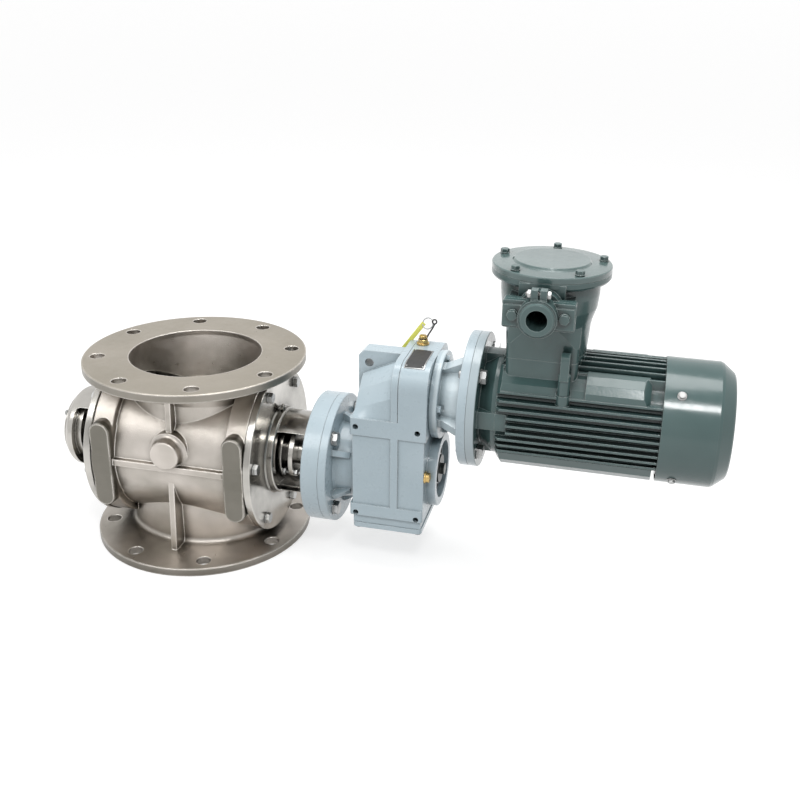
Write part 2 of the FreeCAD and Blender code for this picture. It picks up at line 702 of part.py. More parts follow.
def end_cover(end_x, bearing_in_cover):
    """Return an end cover with its stuffing box and pedestal, for the +X end."""
    box_end = COVER_X1 + STUFFING_LENGTH
    spigot_x = COVER_X0 - SPIGOT_LENGTH
    inner = PEDESTAL_R - PEDESTAL_WALL
    shoulder = BEARING_R - BEARING_LIP
    profile = [
        (spigot_x, SHAFT_R + RUN_GAP), (spigot_x, BARREL_BORE_R - SEAT_GAP),
        (COVER_X0, BARREL_BORE_R - SEAT_GAP), (COVER_X0, COVER_R - 1), (COVER_X0 + 1, COVER_R),
        (COVER_X1 - 1, COVER_R), (COVER_X1, COVER_R - 1), (COVER_X1, PEDESTAL_RING_R + 2),
        (COVER_X1 + 2, PEDESTAL_RING_R), (PEDESTAL_X0 - 1.5, PEDESTAL_RING_R),
        (PEDESTAL_X0, PEDESTAL_RING_R - 1.5), (PEDESTAL_X0, PEDESTAL_R),
    ]
    if bearing_in_cover:
        seat = end_x - BEARING_SETBACK - BEARING_WIDTH
        profile += [(end_x - 9, PEDESTAL_R), (end_x - 6, PEDESTAL_R - 1), (end_x - 2, PEDESTAL_R - 4),
                    (end_x, PEDESTAL_R - 8), (end_x, BEARING_R + SEAT_GAP), (seat, BEARING_R + SEAT_GAP),
                    (seat, shoulder), (seat - 4, shoulder), (seat - 4, inner)]
    else:
        profile += [(end_x - 1, PEDESTAL_R), (end_x, PEDESTAL_R - 1), (end_x, inner - 4),
                    (end_x - PEDESTAL_END_T, inner - 4), (end_x - PEDESTAL_END_T, inner)]
    depth = PACKING_SIZE * PACKING_COUNT + FOLLOWER_NOSE
    profile += [
        (COVER_X1 + 2, inner), (COVER_X1 + 2, STUFFING_R), (box_end - STUFFING_FLANGE_T, STUFFING_R),
        (box_end - STUFFING_FLANGE_T, STUFFING_FLANGE_R), (box_end, STUFFING_FLANGE_R),
        (box_end, PACKING_R), (box_end - depth, PACKING_R), (box_end - depth, SHAFT_R + RUN_GAP),
    ]
    cuts = [pedestal_window(side) for side in (-1, 1)] + [purge_hole()]
    for y, z in cover_bolt_places():
        cuts.append(rod_x(COVER_X0 - 1, COVER_X1 + 1, COVER_BOLT_R + BOLT_GAP, y, AXIS_Z + z))
    for y, z in stuffing_box_places():
        cuts.append(rod_x(box_end - STUFFING_FLANGE_T - 1, box_end + 1, GLAND_STUD_R + THREAD_GAP, y,
                          AXIS_Z + z))
    places, screw_r, depth = adapter_screw_places(), SCREW_R, 14
    if bearing_in_cover:
        places, screw_r, depth = free_cap_places(), CAP_SCREW_R, 13
    for y, z in places:
        cuts.append(rod_x(end_x - depth, end_x + 1, screw_r + THREAD_GAP, y, AXIS_Z + z))
    return turned(profile).cut(group(cuts))


def pedestal_window(side):
    """Return the cutter of one side window: a sector with round corners."""
    x0 = PEDESTAL_X0 - 3
    x1 = x0 + WINDOW_LENGTH + 3
    half = PEDESTAL_R * math.sin(math.radians(WINDOW_HALF_ANGLE))
    y0, y1 = sorted((side * STUFFING_FLANGE_R * 0.62, side * (PEDESTAL_R + 5)))
    slab = block(x0, x1, y0, y1, AXIS_Z - half, AXIS_Z + half)
    corners = [e for e in slab.Edges if e.BoundBox.YLength > 5]
    slab = slab.makeFillet(WINDOW_CORNER_R, corners)
    keep = rod_x(x0 - 1, x1 + 1, PEDESTAL_R - PEDESTAL_WALL - 1)
    ring = rod_x(x0 - 1, PEDESTAL_X0, PEDESTAL_RING_R + 1)
    return slab.cut(keep).cut(ring)


def purge_hole():
    """Return the tapped hole on top of the pedestal ring."""
    top = AXIS_Z + PEDESTAL_RING_R
    return rod_z(top - 9, top + 1, SCREW_R + THREAD_GAP, PURGE_X)


def purge_plugs():
    """Return the hex plug on top of each pedestal ring."""
    top = AXIS_Z + PEDESTAL_RING_R
    stem = rod_z(top - 8, top + 0.2, SCREW_R, PURGE_X)
    head = hexagon_z(top + 0.1, top + 6, PURGE_AF, PURGE_X, 0)
    nose = rod_z(top + 6, top + 9, SCREW_R - 0.4, PURGE_X)
    plug = join([stem, head, nose])
    return group([plug, flipped(plug)])


def cover_gaskets():
    """Return the flat gasket under each end cover."""
    ring = tube_x(BODY_HALF_LENGTH, COVER_X0, END_FLANGE_R - 1, BARREL_BORE_R + 1)
    holes = [rod_x(BODY_HALF_LENGTH - 1, COVER_X0 + 1, COVER_BOLT_R + BOLT_GAP, y, AXIS_Z + z)
             for y, z in cover_bolt_places()]
    ring = ring.cut(group(holes))
    return group([ring, flipped(ring)])


def cover_bolts():
    """Return the hex bolts of both end covers."""
    bolts = []
    for y, z in cover_bolt_places():
        shank = rod_x(BODY_HALF_LENGTH - COVER_BOLT_GRIP + 2, COVER_X1 + 1, COVER_BOLT_R, y, AXIS_Z + z)
        head = hexagon_x(COVER_X1, COVER_X1 + COVER_BOLT_HEAD_T, COVER_BOLT_AF, y, AXIS_Z + z)
        bolt = join([shank, head])
        bolts += [bolt, flipped(bolt)]
    return group(bolts)


def packing_rings():
    """Return the packing rings of both stuffing boxes."""
    start = COVER_X1 + STUFFING_LENGTH - PACKING_SIZE * PACKING_COUNT - FOLLOWER_NOSE
    rings = []
    for k in range(PACKING_COUNT):
        x0 = start + k * PACKING_SIZE
        ring = tube_x(x0, x0 + PACKING_SIZE - RING_GAP, PACKING_R - FIT, SHAFT_R + SEAT_GAP)
        rings += [ring, flipped(ring)]
    return group(rings)


def gland_follower():
    """Return the flanged follower of the +X stuffing box."""
    box_end = COVER_X1 + STUFFING_LENGTH
    x0 = box_end + FOLLOWER_GAP
    profile = [
        (box_end - FOLLOWER_NOSE, SHAFT_R + RUN_GAP), (box_end - FOLLOWER_NOSE, PACKING_R - SEAT_GAP),
        (x0, PACKING_R - SEAT_GAP), (x0, STUFFING_FLANGE_R), (x0 + FOLLOWER_T, STUFFING_FLANGE_R),
        (x0 + FOLLOWER_T, SHAFT_R + RUN_GAP),
    ]
    holes = [rod_x(x0 - 1, x0 + FOLLOWER_T + 1, GLAND_STUD_R + BOLT_GAP, y, AXIS_Z + z)
             for y, z in stuffing_box_places()]
    return turned(profile).cut(group(holes))


def gland_studs():
    """Return the studs with their nuts on both glands."""
    box_end = COVER_X1 + STUFFING_LENGTH
    x0 = box_end - STUFFING_FLANGE_T
    face = box_end + FOLLOWER_GAP + FOLLOWER_T
    studs = []
    for y, z in stuffing_box_places():
        rod = rod_x(x0, face + GLAND_NUT_T + 4, GLAND_STUD_R, y, AXIS_Z + z)
        nut = hexagon_x(face, face + GLAND_NUT_T, GLAND_NUT_AF, y, AXIS_Z + z)
        lock = hexagon_x(box_end, box_end + GLAND_NUT_T - 1, GLAND_NUT_AF, y, AXIS_Z + z)
        stud = join([rod, nut, lock])
        studs += [stud, flipped(stud)]
    return group(studs)


def outer_ring(x0, width, r_out, r_split, y=0.0, z=AXIS_Z):
    """Return a bearing's outer ring with its side shields."""
    return tube_x(x0, x0 + width, r_out, r_split + BEARING_RING_GAP, y, z)


def inner_ring(x0, width, r_in, r_split, y=0.0, z=AXIS_Z):
    """Return a bearing's inner ring."""
    return tube_x(x0, x0 + width, r_split, r_in + FIT, y, z)


def rotor_bearing_outer_rings():
    """Return the outer rings of both shaft bearings."""
    return group([outer_ring(x0, BEARING_WIDTH, BEARING_R, rotor_bearing_split())
                  for x0 in (DRIVE_BEARING_X0, FREE_BEARING_X0)])


def rotor_bearing_inner_rings():
    """Return the inner rings that turn with the rotor: two on the shaft, two on the hollow shaft."""
    rings = [inner_ring(x0, BEARING_WIDTH, SHAFT_R, rotor_bearing_split())
             for x0 in (DRIVE_BEARING_X0, FREE_BEARING_X0)]
    for x0 in output_bearing_places():
        rings.append(inner_ring(x0, OUTPUT_BEARING_WIDTH, HOLLOW_SHAFT_R, output_bearing_split()))
    return group(rings)


def free_cap_places():
    """Return the screw places of the free end's cap."""
    return ring_places(4, BEARING_R + FREE_CAP_R + 2, 45.0)


def bearing_cap_free():
    """Return the cap that closes the free-end bearing."""
    x1 = -PEDESTAL_END_FREE
    x0 = x1 - FREE_CAP_T
    rim = FREE_CAP_R
    stop = x1 + BEARING_SETBACK - 0.1
    profile = [(x0, 0), (x0, rim - 2), (x0 + 2, rim), (x1, rim), (x1, BEARING_R - SEAT_GAP),
               (stop, BEARING_R - SEAT_GAP), (stop, BEARING_R - BEARING_LIP),
               (x1 - 2, BEARING_R - BEARING_LIP),
               (x1 - 2, 0)]
    holes = [rod_x(x0 - 1, x1 + 1, CAP_SCREW_R + BOLT_GAP, y, AXIS_Z + z) for y, z in free_cap_places()]
    return turned(profile).cut(group(holes))


def bearing_cap_screws():
    """Return the screws of the free end's cap."""
    x0 = -PEDESTAL_END_FREE - FREE_CAP_T
    screws = []
    for y, z in free_cap_places():
        shank = rod_x(x0 - 0.5, x0 + FREE_CAP_T + 11, CAP_SCREW_R, y, AXIS_Z + z)
        screws.append(join([shank, hexagon_x(x0 - 4, x0, CAP_SCREW_AF, y, AXIS_Z + z)]))
    return group(screws)


def vane_rotor_outline():
    """Return the rotor's cross-section: a hub with vanes and rounded pocket roots."""
    pitch = 2 * math.pi / ROTOR_VANES
    half = VANE_T / 2
    tip_r = math.sqrt(ROTOR_R ** 2 - half ** 2)
    foot = ROTOR_HUB_R + VANE_ROOT_R
    edges = []

    def at(r, offset, angle):
        """Return a point at a radius along a vane and an offset across it."""
        y = r * math.cos(angle) - offset * math.sin(angle)
        return vec(0, y, AXIS_Z + r * math.sin(angle) + offset * math.cos(angle))

    for k in range(ROTOR_VANES):
        turn = k * pitch
        edges.append(Part.LineSegment(at(foot, -half, turn), at(tip_r, -half, turn)))
        edges.append(Part.Arc(at(tip_r, -half, turn), at(ROTOR_R, 0, turn), at(tip_r, half, turn)))
        edges.append(Part.LineSegment(at(tip_r, half, turn), at(foot, half, turn)))
        edges.append(Part.Arc(at(foot, half, turn), at(ROTOR_HUB_R, 0, turn + pitch / 2),
                              at(foot, -half, turn + pitch)))
    return Part.Wire(Part.__sortEdges__([edge.toShape() for edge in edges]))


def rotor():
    """Return the vaned rotor."""
    wire = vane_rotor_outline()
    blank = Part.Face(wire).extrude(vec(2 * ROTOR_HALF_LENGTH, 0, 0))
    blank.translate(vec(-ROTOR_HALF_LENGTH, 0, 0))
    bore = rod_x(-ROTOR_HALF_LENGTH - 1, ROTOR_HALF_LENGTH + 1, SHAFT_R + FIT)
    return blank.cut(bore).cut(rotor_key_space(FIT))


def rotor_key_space(gap):
    """Return the key between shaft and rotor, grown by a gap."""
    half = KEY_WIDTH / 2 + gap
    reach = ROTOR_KEY_HALF + gap
    top = SHAFT_R + KEY_HEIGHT * 0.4 + gap
    low = SHAFT_R - KEY_HEIGHT * 0.6 - gap
    return block(-reach, reach, -half, half, AXIS_Z + low, AXIS_Z + top)


def gear_key_space(gap):
    """Return the key between shaft and hollow shaft, grown by a gap."""
    half = KEY_WIDTH / 2 + gap
    top = SHAFT_DRIVE_R + KEY_HEIGHT * 0.4 + gap
    low = SHAFT_DRIVE_R - KEY_HEIGHT * 0.6 - gap
    return block(FINAL_FACE_X0 - gap, FINAL_FACE_X1 + gap, -half, half, AXIS_Z + low, AXIS_Z + top)


def rotor_shaft():
    """Return the stepped rotor shaft."""
    free = FREE_BEARING_X0
    step = ADAPTER_X1 - 2
    end = HOLLOW_SHAFT_X1 - 3
    profile = [(free, 0), (free, SHAFT_R - 1), (free + 1, SHAFT_R), (step, SHAFT_R), (step, SHAFT_DRIVE_R),
               (end - 1, SHAFT_DRIVE_R), (end, SHAFT_DRIVE_R - 1), (end, 0)]
    shaft = turned(profile)
    tapped = rod_x(end - 26, end + 1, RETAINER_SCREW_R + THREAD_GAP)
    return shaft.cut(rotor_key_space(FIT)).cut(gear_key_space(FIT)).cut(tapped)


def shaft_keys():
    """Return the two keys of the rotor shaft."""
    return group([rotor_key_space(0.0), gear_key_space(0.0)])


def shaft_retainer():
    """Return the washer and screw that hold the shaft in the hollow shaft."""
    x0 = HOLLOW_SHAFT_X1
    washer = rod_x(x0, x0 + RETAINER_T, SHAFT_DRIVE_R + 4)
    head = hexagon_x(x0 + RETAINER_T - 0.1, x0 + RETAINER_T + 6, 17.0, 0, AXIS_Z)
    shank = rod_x(x0 - 24, x0 + 1, RETAINER_SCREW_R)
    return join([washer, head, shank])


def adapter_screw_places():
    """Return the screw places between adapter flange and pedestal."""
    return ring_places(6, 2 * (PEDESTAL_R - 7), 0.0)


def disc_bolt_places():
    """Return the four bolt places of a 200 mm disc."""
    return ring_places(DISC_BOLTS, DISC_PCD, 45.0)


def adapter_flange():
    """Return the light grey disc that carries the drive-side bearing."""
    x0, x1 = ADAPTER_X0, ADAPTER_X1
    seat = BEARING_R + SEAT_GAP
    lip = BEARING_R - BEARING_LIP
    register = x1 - DISC_REGISTER_DEPTH
    profile = [(x0, lip), (x0, DISC_R - 1), (x0 + 1, DISC_R), (x1, DISC_R),
               (x1, DISC_REGISTER_R + SEAT_GAP), (register, DISC_REGISTER_R + SEAT_GAP), (register, seat),
               (DRIVE_BEARING_X0, seat), (DRIVE_BEARING_X0, lip)]
    cuts = []
    for y, z in disc_bolt_places():
        cuts.append(rod_x(x1 - 21, x1 + 1, DISC_BOLT_R + THREAD_GAP, y, AXIS_Z + z))
    for y, z in adapter_screw_places():
        cuts.append(rod_x(x0 - 1, x1, SCREW_R + BOLT_GAP, y, AXIS_Z + z))
        cuts.append(rod_x(adapter_screw_seat(), x1, SOCKET_HEAD_R + BOLT_GAP, y, AXIS_Z + z))
    return turned(profile).cut(group(cuts))


def adapter_screws():
    """Return the cap screws that hold the adapter flange on the pedestal."""
    return group([socket_screw(ADAPTER_X0 - 12, adapter_screw_seat(), y, AXIS_Z + z)
                  for y, z in adapter_screw_places()])


def gearbox_flange():
    """Return the gear unit's output flange with its ribbed neck."""
    x0, x1 = ADAPTER_X1, GEAR_FLANGE_X1
    spigot = x0 - DISC_REGISTER_DEPTH + FACE_GAP
    x2 = CASE_BAND_X0
    seal = HOLLOW_SHAFT_R + 6.2
    profile = [
        (spigot, NECK_BORE_R), (spigot, DISC_REGISTER_R), (x0, DISC_REGISTER_R), (x0, DISC_R - 0.6),
        (x0 + 0.6, DISC_R), (x1 - 1, DISC_R), (x1, DISC_R - 1), (x1, NECK_ROOT_R + 3), (x1 + 3, NECK_ROOT_R),
        (x2 - 8, NECK_TIP_R), (x2, OUTPUT_BOSS_R), (x2, OUTPUT_BEARING_R - SEAT_GAP),
        (x2 + 4.5, OUTPUT_BEARING_R - SEAT_GAP), (x2 + 4.5, seal), (x2 - 8, seal), (x2 - 8, NECK_BORE_R),
    ]
    ribs = []
    for k in range(6):
        outline = [(x1 - 1, NECK_TIP_R - 3), (x1 - 1, NECK_ROOT_R + 14), (x1 + 2, NECK_ROOT_R + 14),
                   (x2 - 6, NECK_TIP_R + 3), (x2 - 6, NECK_TIP_R - 3)]
        rib = prism_y([(x, AXIS_Z + r) for x, r in outline], -NECK_RIB_T / 2, NECK_RIB_T / 2)
        rib.rotate(vec(0, 0, AXIS_Z), X_DIR, 60.0 * k)
        ribs.append(rib)
    neck = join([turned(profile)] + ribs)
    cuts = [rod_x(x0 - 1, x1 + 1, DISC_BOLT_R + BOLT_GAP, y, AXIS_Z + z) for y, z in disc_bolt_places()]
    for y, z in neck_screw_places():
        cuts.append(rod_x(x2 - 9, x2 + 1, SCREW_R + BOLT_GAP, y, AXIS_Z + z))
    return neck.cut(group(cuts))


def neck_screw_places():
    """Return the screw places between the neck and the case."""
    return ring_places(6, NECK_SCREW_PCD, 30.0)


def neck_screws():
    """Return the cap screws that hold the output flange on the case."""
    x2 = CASE_BAND_X0
    screws = []
    for y, z in neck_screw_places():
        shank = rod_x(x2 - 9, x2 + 9, SCREW_R, y, AXIS_Z + z)
        head = rod_x(x2 - 8 - SOCKET_HEAD_T, x2 - 8, SOCKET_HEAD_R, y, AXIS_Z + z)
        socket = hexagon_x(x2 - 9 - SOCKET_HEAD_T, x2 - 8 - SOCKET_HEAD_T / 2, SOCKET_AF, y, AXIS_Z + z)
        screws.append(join([shank, head.cut(socket)]))
    return group(screws)


def disc_bolts(head_x, reach, z_axis):
    """Return four hex bolts whose heads sit on a face and whose shanks point to -X."""
    bolts = []
    for y, z in disc_bolt_places():
        shank = rod_x(head_x - reach, head_x + 1, DISC_BOLT_R, y, z_axis + z)
        head = hexagon_x(head_x, head_x + DISC_BOLT_HEAD_T, DISC_BOLT_HEAD_AF, y, z_axis + z)
        bolts.append(join([shank, head]))
    return group(bolts)


def output_bearing_places():
    """Return where the two bearings of the hollow shaft start."""
    return (CASE_BAND_X0 + 5.0, TOWER_X1 - 4.0 - OUTPUT_BEARING_WIDTH)


def output_bearing_split():
    """Return the radius between inner and outer ring of those bearings."""
    return (HOLLOW_SHAFT_R + OUTPUT_BEARING_R) / 2


def lay_bearing_places():
    """Return where the two layshaft bearings start."""
    return (FINAL_FACE_X0 - 5 - SMALL_BEARING_WIDTH, FIRST_FACE_X1 + 4)


def input_bearing_place():
    """Return where the input shaft's small bearing starts."""
    return FIRST_FACE_X1 + 5.0


def case_outside():
    """Return the outside of the gear case, before it is hollowed."""
    x0, x1 = CASE_BAND_X0, CASE_BAND_X1
    half = CASE_HALF_Y
    core = block(x0 + CASE_SIDE_INSET, x1, -half + CASE_PANEL_INSET, half - CASE_PANEL_INSET,
                 CASE_BAND_BOTTOM, CASE_BAND_TOP)
    low = block(x0, x1, -half, half, CASE_BAND_BOTTOM, CASE_BAND_BOTTOM + CASE_BAND_LOW_H)
    high = block(x0, x1, -half, half, CASE_BAND_HIGH_Z, CASE_BAND_TOP)
    strip = block(CASE_STRIP_X0, TOWER_X0, -half, half, CASE_BAND_BOTTOM, CASE_BAND_TOP)
    skirt = block(BASE_X0, BASE_X1, -BASE_HALF_Y, BASE_HALF_Y, BASE_COVER_TOP, CASE_BAND_BOTTOM)
    bands = []
    for part in (low, high):
        upright = [e for e in part.Edges if e.BoundBox.ZLength > 5]
        bands.append(part.makeFillet(4.0, upright))
    head = [tower(0.0, TOWER_X0, TOWER_X1), tower(2.0, CASE_STRIP_X0 + 1, TOWER_X0 + 1),
            tower(0.6, CASE_STRIP_X0, TOWER_X0 - SEAM)]
    edge = CASE_STRIP_X0 + 3
    lug = prism_y([(LUG_X0, CASE_BAND_TOP - 2), (LUG_X0, LUG_TOP - 8), (LUG_X0 + 8, LUG_TOP), (edge, LUG_TOP),
                   (edge, CASE_BAND_TOP - 2)], -LUG_HALF_T, LUG_HALF_T)
    ring = rod_x(x0, x0 + CASE_SIDE_INSET + 1, OUTPUT_BOSS_R)
    boss = rod_x(x1 - 4, OUTPUT_BOSS_X1, OUTPUT_BOSS_R)
    boss = boss.makeChamfer(1.5, [e for e in boss.Edges if abs(e.CenterOfMass.x - OUTPUT_BOSS_X1) < 0.1])
    return join([core, strip, skirt, case_shoulder(), lug, ring, boss] + head + bands)


def case_hollow():
    """Return the space inside the gear case, open at the base."""
    x0 = CASE_BAND_X0 + CASE_SIDE_INSET + CASE_WALL - 3
    x1 = CASE_BAND_X1 - CASE_WALL - 4
    half = CASE_HALF_Y - CASE_PANEL_INSET - CASE_WALL + 1
    floor = BASE_COVER_TOP + 9
    lower = block(x0, x1, -half, half, floor, CASE_BAND_TOP - CASE_WALL)
    mouth = block(BASE_X0 + 17, BASE_X1 - 12, -half + 8, half - 8, BASE_COVER_TOP - 1, floor + 1)
    upper = tower(CASE_WALL + 2, FIRST_FACE_X0 - 4, FIRST_FACE_X1 + 4.5)
    return join([lower, mouth, upper])


def case_bearing_seats():
    """Return the inner bosses that carry bearings."""
    left, right = output_bearing_places()
    lay_left, lay_right = lay_bearing_places()
    wall = OUTPUT_BEARING_R + SMALL_SEAT_WALL
    small = SMALL_BEARING_R + SMALL_SEAT_WALL
    return [rod_x(CASE_BAND_X0 + 3, left + OUTPUT_BEARING_WIDTH, wall),
            rod_x(right, CASE_BAND_X1, wall),
            rod_x(CASE_BAND_X0 + 5, lay_left + SMALL_BEARING_WIDTH, small, LAY_Y, LAY_Z),
            rod_x(lay_right, CASE_BAND_X1 - 3, small, LAY_Y, LAY_Z),
            rod_x(input_bearing_place(), TOWER_X1 - 2, small, 0, INPUT_Z)]


def case_bores():
    """Return the bores for bearings, shafts and screws."""
    left, right = output_bearing_places()
    lay_left, lay_right = lay_bearing_places()
    seat = OUTPUT_BEARING_R + SEAT_GAP
    small = SMALL_BEARING_R + SEAT_GAP
    relief = small_bearing_split() + 2
    start = input_bearing_place()
    spigot = TOWER_X1 - ADAPTER_SPIGOT
    bores = [
        rod_x(CASE_BAND_X0 - 1, left + OUTPUT_BEARING_WIDTH + 1, seat),
        rod_x(right - 1, OUTPUT_BOSS_X1 - 9, seat),
        rod_x(OUTPUT_BOSS_X1 - 10, OUTPUT_BOSS_X1 + 1, OUTPUT_BEARING_R + 4),
        rod_x(lay_left, lay_left + SMALL_BEARING_WIDTH + 1, small, LAY_Y, LAY_Z),
        rod_x(lay_left - BEARING_RELIEF, lay_left + 1, relief, LAY_Y, LAY_Z),
        rod_x(lay_right - 1, lay_right + SMALL_BEARING_WIDTH, small, LAY_Y, LAY_Z),
        rod_x(lay_right, lay_right + SMALL_BEARING_WIDTH + BEARING_RELIEF, relief, LAY_Y, LAY_Z),
        rod_x(start - 1.5, spigot, small, 0, INPUT_Z),
        rod_x(spigot - FACE_GAP, TOWER_X1 + 1, ADAPTER_SPIGOT_R + SEAT_GAP, 0, INPUT_Z),
    ]
    for y, z in neck_screw_places():
        bores.append(rod_x(CASE_BAND_X0 - 1, CASE_BAND_X0 + 10, SCREW_R + THREAD_GAP, y, AXIS_Z + z))
    for y, z in adapter_flange_screw_places():
        bores.append(rod_x(TOWER_X1 - ADAPTER_SCREW_GRIP - 1, TOWER_X1 + 1, SCREW_R + THREAD_GAP, y,
                           INPUT_Z + z))
    for x, y in base_screw_places():
        bores.append(rod_z(BASE_COVER_TOP - 1, BASE_COVER_TOP + 11, SCREW_R + THREAD_GAP, x, y))
    for x, z in side_hole_places():
        bores.append(rod_y(-CASE_HALF_Y - 1, -CASE_HALF_Y + SIDE_HOLE_DEPTH, SIDE_HOLE_R, x, z))
    bores.append(rod_y(-LUG_HALF_T - 1, LUG_HALF_T + 1, LUG_HOLE_R, LUG_HOLE_X, LUG_HOLE_Z))
    bores.append(rod_z(TOWER_TOP - 12, TOWER_TOP + 1, PLUG_R + THREAD_GAP, BREATHER_X, BREATHER_Y))
    for y, z in oil_plug_places():
        bores.append(rod_x(CASE_BAND_X1 - 10, CASE_BAND_X1 + 1, PLUG_R + THREAD_GAP, y, z))
    return bores


def oil_plug_places():
    """Return (y, z) of the level plugs beside the output boss."""
    return [(side * OIL_PLUG_Y, AXIS_Z + OIL_PLUG_RISE) for side in (-1, 1)]


def side_hole_places():
    """Return (x, z) of the tapped fixing holes in the front of the case."""
    half_x = SIDE_HOLE_SPACING_X / 2
    half_z = SIDE_HOLE_SPACING_Z / 2
    return [(SIDE_HOLE_X + sx * half_x, SIDE_HOLE_Z + sz * half_z) for sx in (-1, 1) for sz in (-1, 1)]


def base_screw_places():
    """Return (x, y) of the screws under the base cover."""
    return [(x, y) for x in (BASE_X0 + BASE_SCREW_INSET, BASE_X1 - BASE_SCREW_INSET) for y in BASE_SCREW_ROWS]


def gearbox_case():
    """Return the hollow gear case."""
    case = case_outside().cut(case_hollow())
    case = join([case] + case_bearing_seats())
    return case.cut(group(case_bores()))


def gearbox_base_cover():
    """Return the cast plate that closes the case from below, with its under-side ribs."""
    low = BASE_COVER_BOTTOM
    plate = block(BASE_X0 - 1, BASE_X1 + 1, -BASE_HALF_Y - 1, BASE_HALF_Y + 1, low, BASE_COVER_TOP)
    plate = plate.makeFillet(6.0, [e for e in plate.Edges if e.BoundBox.ZLength > 5])
    ribs = [block(BASE_X0 + 18, BASE_X1 - 18, y - 3, y + 3, low - 4, low + 1) for y in BASE_SCREW_ROWS]
    holes = [rod_z(low - 1, BASE_COVER_TOP + 1, SCREW_R + BOLT_GAP, x, y) for x, y in base_screw_places()]
    return join([plate] + ribs).cut(group(holes))


def base_cover_screws():
    """Return the hex screws under the base cover."""
    low = BASE_COVER_BOTTOM
    screws = []
    for x, y in base_screw_places():
        shank = rod_z(low - 1, BASE_COVER_TOP + 9, SCREW_R, x, y)
        screws.append(join([shank, hexagon_z(low - SCREW_HEAD_T, low, SCREW_AF, x, y)]))
    return group(screws)


def gearbox_bearing_outer_rings():
    """Return the fixed bearing rings of the gear unit and its motor adapter."""
    rings = [outer_ring(x0, OUTPUT_BEARING_WIDTH, OUTPUT_BEARING_R, output_bearing_split())
             for x0 in output_bearing_places()]
    split = small_bearing_split()
    for x0 in lay_bearing_places():
        rings.append(outer_ring(x0, SMALL_BEARING_WIDTH, SMALL_BEARING_R, split, LAY_Y, LAY_Z))
    rings.append(outer_ring(input_bearing_place(), SMALL_BEARING_WIDTH, SMALL_BEARING_R, split, 0, INPUT_Z))
    rings.append(outer_ring(SLEEVE_BEARING_X0, SLEEVE_BEARING_WIDTH, SLEEVE_BEARING_R,
                            sleeve_bearing_split(), 0,
                            INPUT_Z))
    return group(rings)


def small_bearing_split():
    """Return the radius between inner and outer ring of the small bearings."""
    return (SMALL_BEARING_SHAFT_R + SMALL_BEARING_R) / 2


def sleeve_bearing_split():
    """Return the radius between the rings of the sleeve's bearing."""
    return (SLEEVE_R + SLEEVE_BEARING_R) / 2


def shaft_seals():
    """Return the lip seals of the hollow shaft."""
    left = CASE_BAND_X0 - 7.6
    right = TOWER_X1 - 3.6
    inner = HOLLOW_SHAFT_R + SEAT_GAP
    return group([tube_x(left, left + 7, HOLLOW_SHAFT_R + 6.1, inner),
                  tube_x(right, right + 5, OUTPUT_BEARING_R, inner)])


def gear_outline(module, teeth, shift, tooth_angle, y, z, x):
    """Return the closed outline of a spur gear with involute flanks.

    The flank is drawn through three points between base and tip circles, with a radial foot below the base
    circle. tooth_angle is where the first tooth points, in degrees from +Y towards +Z.
    """
    alpha = math.radians(PRESSURE_ANGLE)
    pitch_r = module * teeth / 2
    base_r = pitch_r * math.cos(alpha)
    tip_r = pitch_r + module * (1 + shift)
    root_r = pitch_r + module * (shift - 1.25)
    half_pitch = (math.pi / 2 + 2 * shift * math.tan(alpha)) / teeth - TOOTH_THINNING / (2 * pitch_r)
    pitch_involute = math.tan(alpha) - alpha

    def half_tooth(r):
        """Return half the tooth's angle at a radius."""
        pressure = math.acos(min(1.0, base_r / r))
        return half_pitch + pitch_involute - (math.tan(pressure) - pressure)

    start_r = max(base_r, root_r)
    radii = [start_r, (start_r + tip_r) / 2, tip_r]
    foot = [root_r] if root_r < base_r else []
    points = []
    for k in range(teeth):
        centre = math.radians(tooth_angle) + 2 * math.pi * k / teeth
        rising = [(r, centre - half_tooth(max(r, start_r))) for r in foot + radii]
        falling = [(r, centre + half_tooth(max(r, start_r))) for r in reversed(foot + radii)]
        points += [vec(x, y + r * math.cos(a), z + r * math.sin(a)) for r, a in rising + falling]
    return Part.makePolygon(points + [points[0]])


def gear(module, teeth, shift, tooth_angle, y, z, x0, x1):
    """Return a solid spur gear blank with its teeth."""
    outline = gear_outline(module, teeth, shift, tooth_angle, y, z, x0)
    return Part.Face(outline).extrude(vec(x1 - x0, 0, 0))


def mesh_angles():
    """Return the direction of the first tooth of each gear, so that both pairs mesh at rest."""
    to_lay = math.degrees(math.atan2(LAY_RISE, LAY_Y))
    to_input = math.degrees(math.atan2(INPUT_RISE - LAY_RISE, -LAY_Y))
    final_pinion = to_lay + 180.0 + 180.0 / FINAL_PINION_TEETH
    first_pinion = to_input + 180.0 + 180.0 / FIRST_PINION_TEETH
    return to_lay, final_pinion, to_input, first_pinion


def output_gear():
    """Return the large output gear."""
    blank = gear(FINAL_MODULE, FINAL_GEAR_TEETH, -FINAL_SHIFT, mesh_angles()[0], 0, AXIS_Z, FINAL_FACE_X0,
                 FINAL_FACE_X1)
    recess = 12.0
    rim = FINAL_MODULE * FINAL_GEAR_TEETH / 2 - 9
    hub = HOLLOW_SHAFT_R + 9
    cuts = [tube_x(FINAL_FACE_X0 - 1, FINAL_FACE_X0 + recess, rim, hub),
            tube_x(FINAL_FACE_X1 - recess, FINAL_FACE_X1 + 1, rim, hub),
            rod_x(FINAL_FACE_X0 - 1, FINAL_FACE_X1 + 1, HOLLOW_SHAFT_R + FIT)]
    return blank.cut(group(cuts))


def output_hollow_shaft():
    """Return the hollow shaft that the rotor shaft plugs into."""
    tube = tube_x(HOLLOW_SHAFT_X0, HOLLOW_SHAFT_X1, HOLLOW_SHAFT_R, SHAFT_DRIVE_R + FIT)
    return tube.cut(gear_key_space(FIT))


